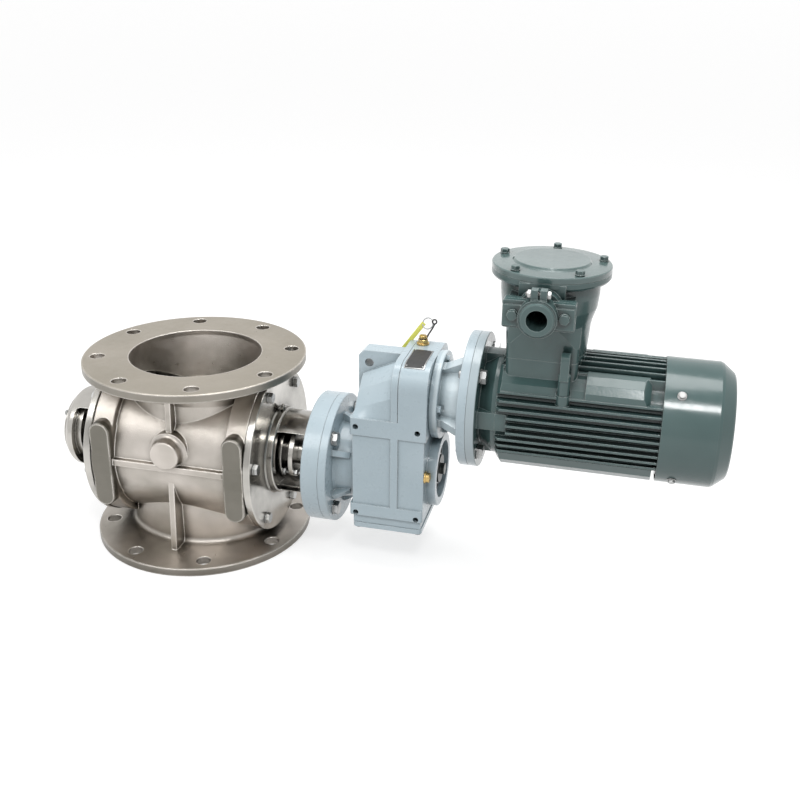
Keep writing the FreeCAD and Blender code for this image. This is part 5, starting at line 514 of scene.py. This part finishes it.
@dataclass
class Wardrobe:
    """Dresses pieces, and makes each finish's material once."""

    kit: ShaderKit
    made: Dict[str, bpy.types.Material] = field(default_factory=dict)

    def dress(self, piece: Piece, slot: str) -> None:
        """Give every material slot of a piece its finish.

        Args:
            piece: mesh object.
            slot: name of the finish, unless the piece has a special one.
        """
        finish = SPECIAL.get(piece.name, FINISHES[slot])
        if finish.name not in self.made:
            self.made[finish.name] = finish.build(self.kit)
        material = self.made[finish.name]
        if not piece.material_slots:
            piece.data.materials.append(material)
        for holder in piece.material_slots:
            holder.material = material


# Modelling


class Facing(Enum):
    """Direction that a bolt head or a plug points to."""

    PLUS_X = (1.0, 0.0, 0.0)
    MINUS_X = (-1.0, 0.0, 0.0)
    MINUS_Y = (0.0, -1.0, 0.0)
    PLUS_Z = (0.0, 0.0, 1.0)
    MINUS_Z = (0.0, 0.0, -1.0)


@dataclass(frozen=True)
class Seat:
    """Where one copy of a pattern goes: its seat, its direction and its turn about that direction."""

    place: Point
    facing: Point
    turn: float = 0.0


def ring_seats(centre: Point, radius: float, count: int, first: float, facing: Facing) -> List[Seat]:
    """Place seats round a circle whose axis is X.

    Args:
        centre: middle of the circle.
        radius: its radius.
        count: how many seats.
        first: direction of the first one, in degrees from +Y towards +Z.
        facing: direction that the heads point to.

    Returns:
        The seats, each with a turn of its own.
    """
    x, y, z = centre
    seats = []
    for k in range(count):
        angle = math.radians(first + 360.0 * k / count)
        spot = (x, y + radius * math.cos(angle), z + radius * math.sin(angle))
        seats.append(Seat(spot, facing.value, 23.0 * k))
    return seats


@dataclass
class Workshop:
    """Modelling steps that the sub-assemblies share. Patterns are drawn at the origin, along +Z."""

    wardrobe: Wardrobe

    @staticmethod
    def pick(piece: Piece) -> None:
        """Select one piece alone and make it active."""
        bpy.ops.object.select_all(action="DESELECT")
        piece.select_set(True)
        bpy.context.view_layer.objects.active = piece

    @classmethod
    def settle(cls, piece: Piece) -> None:
        """Move a piece's place into its mesh."""
        cls.pick(piece)
        bpy.ops.object.transform_apply(location=True, rotation=True, scale=True)

    @staticmethod
    def start_edit(kind: str) -> None:
        """Start editing the active piece, with all of it selected.

        Args:
            kind: VERT, EDGE or FACE.
        """
        bpy.ops.object.mode_set(mode="EDIT")
        bpy.ops.mesh.select_mode(type=kind)
        bpy.ops.mesh.select_all(action="SELECT")

    @staticmethod
    def end_edit() -> Piece:
        """Turn all faces outwards, stop editing and return the piece."""
        bpy.ops.mesh.select_all(action="SELECT")
        bpy.ops.mesh.normals_make_consistent(inside=False)
        bpy.ops.object.mode_set(mode="OBJECT")
        return bpy.context.active_object

    @classmethod
    def modify(cls, piece: Piece, kind: str, **settings: Any) -> Piece:
        """Put a modifier on a piece and apply it.

        Args:
            piece: the piece.
            kind: type of the modifier.
            settings: its settings.

        Returns:
            The piece.
        """
        cls.pick(piece)
        change = piece.modifiers.new(kind, kind)
        for setting, value in settings.items():
            setattr(change, setting, value)
        bpy.ops.object.modifier_apply(modifier=change.name)
        return piece

    @classmethod
    def stack(cls, rings: Sequence[Tuple[float, float]], sides: int) -> Piece:
        """Stack rings into a closed round piece.

        Args:
            rings: radius and height of each ring, the first and the last closed by a face.
            sides: corners of each ring.

        Returns:
            The piece.
        """
        radius, height = rings[0]
        bpy.ops.mesh.primitive_circle_add(vertices=sides, radius=radius, fill_type="NGON",
                                          location=(0, 0, height))
        cls.settle(bpy.context.active_object)
        cls.start_edit("FACE")
        for wide, high in rings[1:]:
            bpy.ops.mesh.extrude_region_move(TRANSFORM_OT_translate={"value": (0, 0, high - height)})
            share = wide / radius
            bpy.ops.transform.resize(value=(share, share, 1.0), center_override=(0, 0, high))
            radius, height = wide, high
        return cls.end_edit()

    @classmethod
    def carve(cls, piece: Piece, tool: Piece, how: str) -> Piece:
        """Cut a piece with a tool, or keep what both share, and remove the tool.

        Args:
            piece: piece that stays.
            tool: piece that is used up.
            how: DIFFERENCE or INTERSECT.

        Returns:
            The piece.
        """
        cls.modify(piece, "BOOLEAN", operation=how, object=tool)
        bpy.data.objects.remove(tool)
        return piece

    @classmethod
    def bevel(cls, piece: Piece, width: float) -> Piece:
        """Round a piece's edges that are sharper than 35 degrees.

        Args:
            piece: the piece.
            width: width of the bevel.

        Returns:
            The piece.
        """
        return cls.modify(piece, "BEVEL", width=width, segments=2, limit_method="ANGLE",
                          angle_limit=math.radians(35.0))

    @classmethod
    def strip(cls, line: Sequence[Point], across: Point, thick: float) -> Piece:
        """Extrude an edge along a line into a thin sheet.

        Args:
            line: points of the sheet's first long side.
            across: step from that side to the other one.
            thick: thickness, added on both sides.

        Returns:
            The sheet.
        """
        bpy.ops.mesh.primitive_plane_add(size=1.0, location=(0, 0, 0))
        cls.start_edit("VERT")
        bpy.ops.mesh.merge(type="CENTER")
        bpy.ops.transform.translate(value=line[0])
        bpy.ops.mesh.extrude_vertices_move(TRANSFORM_OT_translate={"value": across})
        bpy.ops.mesh.select_all(action="SELECT")
        bpy.ops.mesh.select_mode(type="EDGE")
        bpy.ops.mesh.select_all(action="SELECT")
        for before, after in zip(line, line[1:]):
            step = tuple(b - a for a, b in zip(before, after))
            bpy.ops.mesh.extrude_edges_move(TRANSFORM_OT_translate={"value": step})
        return cls.modify(cls.end_edit(), "SOLIDIFY", thickness=thick, offset=0.0)

    @classmethod
    def ring(cls, centre: Point, radius: float, thick: float, axis: Point) -> Piece:
        """Make a round ring of round stock.

        Args:
            centre: its centre.
            radius: radius of its centreline.
            thick: radius of the stock.
            axis: the direction that it turns about.

        Returns:
            The ring.
        """
        turn = Vector(axis).to_track_quat("Z", "Y").to_euler()
        bpy.ops.mesh.primitive_torus_add(major_radius=radius, minor_radius=thick, major_segments=48,
                                         minor_segments=12, location=centre, rotation=turn)
        piece = bpy.context.active_object
        cls.settle(piece)
        return piece

    @classmethod
    def join(cls, pieces: Sequence[Piece]) -> Piece:
        """Join pieces into one."""
        bpy.ops.object.select_all(action="DESELECT")
        for piece in pieces:
            piece.select_set(True)
        bpy.context.view_layer.objects.active = pieces[0]
        if len(pieces) > 1:
            bpy.ops.object.join()
        return pieces[0]

    @classmethod
    def spread(cls, pattern: Piece, seats: Sequence[Seat]) -> Piece:
        """Copy a pattern to every seat and join the copies.

        Args:
            pattern: piece at the origin, along +Z. It is used up.
            seats: where the copies go.

        Returns:
            One piece with all the copies.
        """
        copies = []
        for seat in seats:
            cls.pick(pattern)
            bpy.ops.object.duplicate(linked=False)
            copy = bpy.context.active_object
            copy.rotation_mode = "QUATERNION"
            upright = Vector(seat.facing).to_track_quat("Z", "Y")
            copy.rotation_quaternion = upright @ Quaternion((0, 0, 1), math.radians(seat.turn))
            copy.location = seat.place
            cls.settle(copy)
            copies.append(copy)
        bpy.data.objects.remove(pattern)
        return cls.join(copies)

    def deliver(self, piece: Piece, name: str, slot: str, *nodes: str, seats: Sequence[Seat] = (),
                smooth: float = 32.0) -> Piece:
        """Name, smooth and dress a finished piece, hang it on the body it rides on, and hide the CAD nodes
        that it stands for.

        Args:
            piece: the piece, or a pattern at the origin, along +Z.
            name: its name.
            slot: finish and material slot.
            nodes: CAD nodes that it stands for.
            seats: where copies of a pattern go.
            smooth: edges sharper than this many degrees stay sharp.

        Returns:
            The piece, or one piece with all the copies.
        """
        if seats:
            piece = self.spread(piece, seats)
        self.pick(piece)
        bpy.ops.object.shade_smooth_by_angle(angle=math.radians(smooth))
        piece.name = name
        piece.data.name = name
        piece.data.materials.clear()
        self.wardrobe.dress(piece, slot)
        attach(piece, BODY)
        if nodes:
            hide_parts(*nodes)
        LOG.info("made %s on %s", name, BODY)
        return piece

    @classmethod
    def hex_block(cls, across: float, low: float, high: float, rim: float, both_ends: bool) -> Piece:
        """Model the chamfered hexagon of a bolt head or a nut.

        Args:
            across: width across flats.
            low: height of its underside.
            high: height of its top.
            rim: height of the chamfer.
            both_ends: chamfer the underside too.

        Returns:
            The piece.
        """
        corner = across / math.sqrt(3.0)
        wide, narrow = corner * HEX_ROOM, across / 2 * HEX_FACE
        block = cls.stack([(corner, low), (corner, high)], 6)
        foot = [(wide, low - OVERLAP)]
        if both_ends:
            foot = [(narrow, low - OVERLAP), (narrow, low), (wide, low + rim)]
        top = [(wide, high - rim), (narrow, high), (narrow, high + OVERLAP)]
        return cls.carve(block, cls.stack(foot + top, 36), "INTERSECT")


@dataclass(frozen=True)
class HexScrew:
    """A hex screw or bolt: chamfered head, washer and plain shank."""

    across: float
    head: float
    shank: float
    below: float
    washer: float = 0.0
    washer_thick: float = 0.0

    def pattern(self, shop: Workshop) -> Piece:
        """Model the screw with its seat at the origin.

        Args:
            shop: modelling steps.

        Returns:
            The piece, its head above the seat and its shank below it.
        """
        low, high = self.washer_thick, self.washer_thick + self.head
        tip = 0.25 * self.shank
        parts = [shop.hex_block(self.across, low, high, 0.16 * self.head, False),
                 shop.stack([(self.shank - tip, -self.below), (self.shank, tip - self.below),
                             (self.shank, low + 0.2 * self.head)], 20)]
        if self.washer:
            edge = 0.25 * self.washer_thick
            rim = self.washer
            rings = [(rim - edge, 0.0), (rim, edge), (rim, low - edge), (rim - edge, low)]
            parts.append(shop.stack(rings, 32))
        return shop.join(parts)


@dataclass(frozen=True)
class Stud:
    """A threaded stud with its nuts."""

    radius: float
    low: float
    high: float
    nuts: Tuple[Tuple[float, float], ...]
    across: float
    pitch: float = 1.0 * MM

    def pattern(self, shop: Workshop) -> Piece:
        """Model the stud along +Z.

        Args:
            shop: modelling steps.

        Returns:
            The piece with ridged thread and chamfered nuts.
        """
        count = int((self.high - self.low - 2 * self.pitch) / self.pitch)
        root = self.radius - 0.5 * self.pitch
        rings = [(root, self.low), (root, self.low + 0.3 * self.pitch)]
        for k in range(count):
            start = self.low + (k + 0.5) * self.pitch
            rings += [(self.radius, start + 0.4 * self.pitch), (root, start + 0.9 * self.pitch)]
        rings.append((root, self.high))
        nuts = [shop.hex_block(self.across, low, high, 0.14 * (high - low), True) for low, high in self.nuts]
        return shop.join([shop.stack(rings, 16)] + nuts)


@dataclass(frozen=True)
class FastenerSet:
    """Equal screws or studs that make up one piece, and the CAD node that it stands for."""

    name: str
    node: str
    fastener: HexScrew | Stud
    seats: Sequence[Seat]
    slot: str = "zinc_bolts"

    def build(self, shop: Workshop) -> None:
        """Make the set.

        Args:
            shop: modelling steps.
        """
        shop.deliver(self.fastener.pattern(shop), self.name, self.slot, self.node, seats=self.seats)


@dataclass
class Hardware:
    """Hardware of one sub-assembly: its fastener sets, and what a subclass adds."""

    shop: Workshop
    sets: Tuple[FastenerSet, ...] = ()

    def build(self) -> None:
        """Make every fastener set."""
        for fasteners in self.sets:
            fasteners.build(self.shop)


@dataclass
class ValveHardware(Hardware):
    """Screws, studs and plugs of the valve itself."""

    sets: Tuple[FastenerSet, ...] = (
        FastenerSet("cover_bolt_set", "cover_bolts", HexScrew(*mm(15, 6.2, 5, 30, 8.4, 1.2)),
                    ring_seats((134 * MM, 0, SHAFT_Z), 111 * MM, 6, 171.0, Facing.PLUS_X)
                    + ring_seats((-134 * MM, 0, SHAFT_Z), 111 * MM, 6, 9.0, Facing.MINUS_X)),
        FastenerSet("gland_stud_set", "gland_studs",
                    Stud(3 * MM, 146 * MM, 179 * MM, (mm(152.1, 156), mm(170.1, 175)), 10 * MM),
                    ring_seats((0, 0, SHAFT_Z), 40 * MM, 3, 90.0, Facing.PLUS_X)
                    + ring_seats((0, 0, SHAFT_Z), 40 * MM, 3, 90.0, Facing.MINUS_X)),
        FastenerSet("cap_screw_set", "bearing_cap_screws", HexScrew(*mm(8, 4, 2.5, 17)),
                    ring_seats((-213 * MM, 0, SHAFT_Z), 48 * MM, 4, 45.0, Facing.MINUS_X)))
    plug_x: float = 141 * MM
    plug_z: float = 217 * MM

    def purge_plugs(self) -> None:
        """Make the plug on top of each pedestal ring."""
        shop = self.shop
        plug = shop.join([shop.stack([mm(2.6, -8), mm(3, -7.4), mm(3, 0.4)], 20),
                          shop.stack([mm(4.6, 0.1), mm(4.6, 6)], 6),
                          shop.stack([mm(2.6, 5.8), mm(2.6, 8.2), mm(1.9, 9)], 24)])
        seats = [Seat((side * self.plug_x, 0, self.plug_z), Facing.PLUS_Z.value, 12.0 * side)
                 for side in (-1, 1)]
        shop.deliver(plug, "purge_plug_set", "turned_stainless", "purge_plugs", seats=seats)

    def build(self) -> None:
        """Make every piece of the valve's hardware."""
        super().build()
        self.purge_plugs()


@dataclass
class GearUnitHardware(Hardware):
    """Screws, plugs, breather and blank nameplate of the gear unit."""

    sets: Tuple[FastenerSet, ...] = (
        FastenerSet("gearbox_flange_bolt_set", "gearbox_flange_bolts",
                    HexScrew(*mm(18, 7.3, 6, 31.4, 10.8, 1.8)),
                    ring_seats((240.4 * MM, 0, SHAFT_Z), 82.5 * MM, 4, 45.0, Facing.PLUS_X)),
        FastenerSet("motor_flange_bolt_set", "motor_flange_bolts",
                    HexScrew(*mm(18, 7.3, 6, 31, 11.2, 1.8)),
                    ring_seats((458.5 * MM, 0, MOTOR_Z), 82.5 * MM, 4, 45.0, Facing.PLUS_X)),
        FastenerSet("adapter_screw_set", "motor_adapter_screws", HexScrew(*mm(10, 4.2, 3, 19, 6, 0.9)),
                    ring_seats((398 * MM, 0, MOTOR_Z), 57 * MM, 4, 0.0, Facing.PLUS_X), "grey_paint"),
        FastenerSet("base_screw_set", "base_cover_screws", HexScrew(*mm(10, 4.2, 3, 17)),
                    [Seat((x, y, 71 * MM), Facing.MINUS_Z.value, 900.0 * y)
                     for x in mm(282, 374) for y in mm(-62, -21, 21, 62)]))
    plug_x: float = 383 * MM
    plug_y: float = 64 * MM
    plug_z: float = 165 * MM
    vent: Point = mm(355, 30, 338.005)
    vent_neck: float = 8.9 * MM
    tag_top: Point = mm(355.5, 45, 364.2)
    tag_foot: Point = mm(315.5, 45, 307.8)
    tag_across: Point = mm(-5.7, 0.4, 4.0)
    tag_thick: float = 0.8 * MM
    tag_eye: Point = mm(366.5, 44, 369)
    strap_line: Tuple[Point, ...] = (mm(1.6, -0.2, -1.8), mm(-1.5, -4, -9), mm(-5.5, -8.5, -16),
                                     mm(-8.2, -12.2, -21.9))
    strap_across: Point = mm(2.6, 0.4, -0.6)
    strap_thick: float = 1.3 * MM
    crown_y: float = -39 * MM
    crown_z: float = 302.005 * MM
    crown_r: float = 36 * MM
    plate_x: float = 347.5 * MM
    plate_wide: float = 30 * MM
    plate_back: float = 4 * MM
    plate_thick: float = 0.7 * MM
    plate_end: float = 58.0
    field_inset: float = 1.6 * MM
    field_end: float = 60.5
    rivet_inset: float = 3.2 * MM
    rivet_end: float = 65.0

    def oil_plugs(self) -> None:
        """Make the brass level plugs, each with a sealing ring and a hex socket."""
        shop = self.shop
        stem = shop.stack([mm(6.2, -8), mm(6.5, -7.5), mm(6.5, 0.5)], 32)
        collar = shop.stack([mm(8.6, 0), mm(9, 0.4), mm(9, 2.1), mm(8.6, 2.5)], 48)
        head = shop.stack([mm(7.4, 2.4), mm(7.4, 7), mm(6.6, 8)], 48)
        socket = shop.stack([mm(3.5, 4.5), mm(3.5, 9)], 6)
        plug = shop.join([stem, collar, shop.carve(head, socket, "DIFFERENCE")])
        seats = [Seat((self.plug_x, side * self.plug_y, self.plug_z), Facing.PLUS_X.value, 14.0)
                 for side in (-1, 1)]
        shop.deliver(plug, "oil_plug_set", "brass", "oil_plugs", seats=seats)

    def breather(self) -> None:
        """Make the brass breather: stem, collar, hex and a stepped cap."""
        shop = self.shop
        stem = shop.stack([mm(6.2, -10), mm(6.5, -9.5), mm(6.5, 0.5)], 32)
        collar = shop.stack([mm(9.2, 0), mm(9.5, 0.3), mm(9.5, 2.2), mm(9.2, 2.5)], 48)
        head = HexScrew(*mm(14, 6, 4, 0)).pattern(shop)
        head.location = mm(0, 0, 2.4)
        shop.settle(head)
        cap = shop.stack([mm(4.2, 8), mm(4.2, 9.6), mm(6, 10.2), mm(6, 13), mm(5.2, 14), mm(2, 14.2)], 24)
        vent = shop.join([stem, collar, head, cap])
        seats = [Seat(self.vent, Facing.PLUS_Z.value, 20.0)]
        shop.deliver(vent, "breather_vent", "brass", "breather", seats=seats)

    def breather_tag(self) -> None:
        """Make the bare yellow tag that hangs on the breather's plastic strap by a white ring."""
        shop = self.shop
        tag = shop.strip([self.tag_top, self.tag_foot], self.tag_across, self.tag_thick)
        shop.deliver(shop.bevel(tag, TRIM_EDGE), "breather_tag", "moulding")
        top, foot, eye = Vector(self.tag_top), Vector(self.tag_foot), Vector(self.tag_eye)
        hole = top + Vector(self.tag_across) / 2 + (foot - top) * 0.05
        reach = eye - hole
        axis = reach.cross(Vector((0.55, 0.25, 0.8)))
        link = shop.ring(hole + reach / 2, reach.length / 2, 1.0 * MM, axis)
        shop.deliver(link, "breather_tag_ring", "moulding")
        loop = shop.ring(eye + Vector(mm(2.4, 0, 0.8)), 3.2 * MM, 1.2 * MM, (0.2, -0.95, 0.25))
        collar = shop.ring(Vector(self.vent) + Vector((0, 0, self.vent_neck)), 5.1 * MM, 1.0 * MM, (0, 0, 1))
        line = [tuple(eye + Vector(step)) for step in self.strap_line]
        strap = shop.bevel(shop.strip(line, self.strap_across, self.strap_thick), TRIM_EDGE)
        shop.deliver(shop.join([loop, collar, strap]), "breather_strap", "moulding")

    def crown_line(self, x: float, start_y: float, end_degrees: float, lift: float) -> List[Point]:
        """Follow the tower's top and its rounded front edge.

        Args:
            x: where the line lies along X.
            start_y: where it starts on the flat top.
            end_degrees: where it ends on the rounded edge, in degrees above level.
            lift: height above the surface.

        Returns:
            The points, from the top to the front.
        """
        radius = self.crown_r + lift
        line = [(x, start_y, self.crown_z + radius)]
        for k in range(9):
            angle = math.radians(90.0 + (end_degrees - 90.0) * k / 8)
            line.append((x, self.crown_y - radius * math.cos(angle), self.crown_z + radius * math.sin(angle)))
        return line

    def nameplate(self) -> None:
        """Make the blank nameplate with its dark field and four rivets, bent over the tower's front edge."""
        shop = self.shop
        lift = 0.5 * self.plate_thick + 0.05 * MM
        line = self.crown_line(self.plate_x, self.plate_back, self.plate_end, lift)
        plate = shop.bevel(shop.strip(line, (self.plate_wide, 0, 0), self.plate_thick), 0.2 * MM)
        shop.deliver(plate, "nameplate_blank", "zinc_bolts", smooth=40.0)
        lift += self.plate_thick * 0.55
        inset = self.field_inset
        line = self.crown_line(self.plate_x + inset, self.plate_back - inset, self.field_end, lift)
        dark = shop.strip(line, (self.plate_wide - 2 * inset, 0, 0), 0.3 * MM)
        shop.deliver(dark, "nameplate_field", "moulding", smooth=40.0)
        rivet = shop.stack([mm(1.3, -0.6), mm(1.3, 0.2), mm(1.0, 0.7), mm(0.4, 1.0)], 20)
        inset, reach, angle = self.rivet_inset, self.crown_r + lift, math.radians(self.rivet_end)
        out = (0.0, -math.cos(angle), math.sin(angle))
        seats = []
        for x in (self.plate_x + inset, self.plate_x + self.plate_wide - inset):
            seats.append(Seat((x, self.plate_back - inset, self.crown_z + reach), Facing.PLUS_Z.value))
            seats.append(Seat((x, self.crown_y + reach * out[1], self.crown_z + reach * out[2]), out))
        shop.deliver(rivet, "nameplate_rivets", "zinc_bolts", seats=seats)

    def build(self) -> None:
        """Make every piece of the gear unit's hardware."""
        super().build()
        self.oil_plugs()
        self.breather()
        self.breather_tag()
        self.nameplate()


def cowl_seats() -> List[Seat]:
    """Place the fan cowl's four screws round its sheet, which lies 89.55 mm from the motor's axis."""
    reach = 89.55 * MM
    seats = []
    for degrees in (45.0, 135.0, 225.0, 315.0):
        turn = math.radians(degrees)
        out = (0.0, -math.sin(turn), math.cos(turn))
        seats.append(Seat((734 * MM, reach * out[1], MOTOR_Z + reach * out[2]), out, degrees / 3))
    return seats


def lid_seats() -> List[Seat]:
    """Place the terminal box lid's five bolts on their circle, 73 mm from the box's axis."""
    seats = []
    for k in range(5):
        angle = math.radians(90.0 + 72.0 * k)
        spot = (542 * MM + 73 * MM * math.cos(angle), 73 * MM * math.sin(angle), 491.305 * MM)
        seats.append(Seat(spot, Facing.PLUS_Z.value, 31.0 * k))
    return seats


@dataclass
class MotorHardware(Hardware):
    """Screws of the motor, its cowl and its terminal box, with the cable entry's pinch bolt."""

    sets: Tuple[FastenerSet, ...] = (
        FastenerSet("cowl_screw_set", "cowl_screws", HexScrew(*mm(8.5, 3.6, 3, 11, 6.4, 1.2)), cowl_seats()),
        FastenerSet("lid_bolt_set", "lid_bolts", HexScrew(*mm(11, 5.4, 3.5, 17, 6.6, 0.9)), lid_seats(),
                    "motor_enamel"),
        FastenerSet("entry_bolt_set", "cable_entry_bolts", HexScrew(*mm(13, 5.3, 4, 26, 7.6, 0.9)),
                    [Seat(mm(538.5 + 34 * side, -109, 445.005), Facing.MINUS_Y.value, 25.0 * side)
                     for side in (-1, 1)], "motor_enamel"),
        FastenerSet("pinch_bolt_set", "cable_pinch_bolt",
                    Stud(3 * MM, -17.5 * MM, 11.5 * MM, (mm(-15.4, -10.55), mm(10.55, 15.4)), 10 * MM),
                    [Seat(mm(538.5, -112, 476.005), Facing.PLUS_X.value, 10.0)]))


@dataclass(frozen=True)
class Softbox:
    """A square lamp: its name, place, side length and watts."""

    name: str
    place: Point
    size: float
    power: float


@dataclass
class Studio:
    """Floor, world, lamps and camera."""

    floor_half: float = 60.0
    floor_base: float = 0.50
    floor_rough: float = 0.9
    floor_glow: float = 0.62
    world_glow: float = 0.62
    middle: Point = (0.35, 0.0, 0.2)
    softboxes: Tuple[Softbox, ...] = (
        Softbox("key_softbox", (-0.8, -1.5, 1.9), 1.1, 15.0),
        Softbox("front_softbox", (0.9, -1.6, 2.1), 0.42, 14.0),
        Softbox("top_softbox", (0.5, 0.2, 2.2), 1.2, 24.0))
    eye: Point = (0.65936, -1.32911, 0.85948)
    azimuth: float = 11.92
    elevation: float = 21.73
    roll: float = 1.54
    sensor: float = 36.0
    lens: float = 44.58
    shift: Tuple[float, float] = (-0.04225, -0.0437)

    @staticmethod
    def bright_share(tree: Tree) -> Socket:
        """Return a socket that is 1 for camera, glossy and transmission rays."""
        path = add_node(tree, "LightPath", {}).outputs
        first = math_node(tree, "MAXIMUM", path["Is Camera Ray"], path["Is Glossy Ray"])
        return math_node(tree, "MAXIMUM", first, path["Is Transmission Ray"])

    def floor(self) -> None:
        """Lay a plain pale floor that keeps the object's shadow."""
        bpy.ops.mesh.primitive_plane_add(size=2 * self.floor_half, location=(0.3, 0.0, 0.0))
        plane = bpy.context.active_object
        plane.name = "floor"
        material = bpy.data.materials.new("floor_white")
        material.use_nodes = True
        tree = material.node_tree
        shader = tree.nodes["Principled BSDF"]
        base = self.floor_base
        fill(tree, shader, {"Base Color": (base, base, base, 1.0), "Roughness": self.floor_rough})
        level = math_node(tree, "MULTIPLY", self.bright_share(tree), self.floor_glow)
        glow = add_node(tree, "Emission", {"Color": WHITE, "Strength": level})
        both = add_node(tree, "AddShader", {0: shader.outputs[0], 1: glow.outputs[0]})
        fill(tree, tree.nodes["Material Output"], {"Surface": both.outputs[0]})
        plane.data.materials.append(material)

    def world(self) -> None:
        """Set the world: white to the eye, a soft plain level as light."""
        world = bpy.data.worlds.new("studio_world")
        bpy.context.scene.world = world
        world.use_nodes = True
        tree = world.node_tree
        plain = tree.nodes["Background"]
        fill(tree, plain, {"Color": WHITE, "Strength": self.world_glow})
        seen = add_node(tree, "Background", {"Color": WHITE, "Strength": 1.0})
        sources = (self.bright_share(tree), plain.outputs[0], seen.outputs[0])
        blend = add_node(tree, "MixShader", dict(enumerate(sources)))
        fill(tree, tree.nodes["World Output"], {"Surface": blend.outputs[0]})

    def lamp(self, box: Softbox) -> None:
        """Add a softbox that faces the object's middle.

        Args:
            box: the softbox.
        """
        data = bpy.data.lights.new(box.name, "AREA")
        data.shape = "SQUARE"
        data.size = box.size
        data.energy = box.power
        lamp = bpy.data.objects.new(box.name, data)
        bpy.context.scene.collection.objects.link(lamp)
        lamp.location = box.place
        lamp.rotation_mode = "QUATERNION"
        lamp.rotation_quaternion = (Vector(self.middle) - Vector(box.place)).to_track_quat("-Z", "Y")

    def camera(self) -> None:
        """Place the camera at the photograph's viewpoint."""
        a, e, r = (math.radians(v) for v in (self.azimuth, self.elevation, self.roll))
        back = Vector((math.sin(a) * math.cos(e), -math.cos(a) * math.cos(e), math.sin(e)))
        right = Vector((0.0, 0.0, 1.0)).cross(back).normalized()
        up = back.cross(right)
        tilted_right = right * math.cos(r) + up * math.sin(r)
        tilted_up = up * math.cos(r) - right * math.sin(r)
        data = bpy.data.cameras.new("photo_view")
        data.sensor_width = self.sensor
        data.lens = self.lens
        data.shift_x, data.shift_y = self.shift
        data.clip_start, data.clip_end = 0.05, 60.0
        camera = bpy.data.objects.new("photo_view", data)
        bpy.context.scene.collection.objects.link(camera)
        turn = Matrix((tilted_right, tilted_up, back)).transposed().to_4x4()
        camera.matrix_world = Matrix.Translation(self.eye) @ turn
        bpy.context.scene.camera = camera

    def build(self) -> None:
        """Build the whole studio."""
        self.floor()
        self.world()
        for box in self.softboxes:
            self.lamp(box)
        self.camera()


def main() -> None:
    """Load the frame, dress every piece and set the studio."""
    logging.basicConfig(level=logging.INFO, format="%(name)s: %(message)s")
    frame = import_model()
    bpy.ops.object.select_all(action="DESELECT")
    bpy.context.scene.view_settings.view_transform = "Standard"
    wardrobe = Wardrobe(ShaderKit.build())
    slots = {entry["node"]: entry["material_slot"] for entry in frame["record"]["subparts"]}
    for name, node in frame["nodes"].items():
        wardrobe.dress(node, slots[name])
        LOG.info("dressed %s as %s", name, slots[name])
    shop = Workshop(wardrobe)
    for assembly in (ValveHardware(shop), GearUnitHardware(shop), MotorHardware(shop)):
        assembly.build()
    Studio().build()


if __name__ == "__main__":
    main()
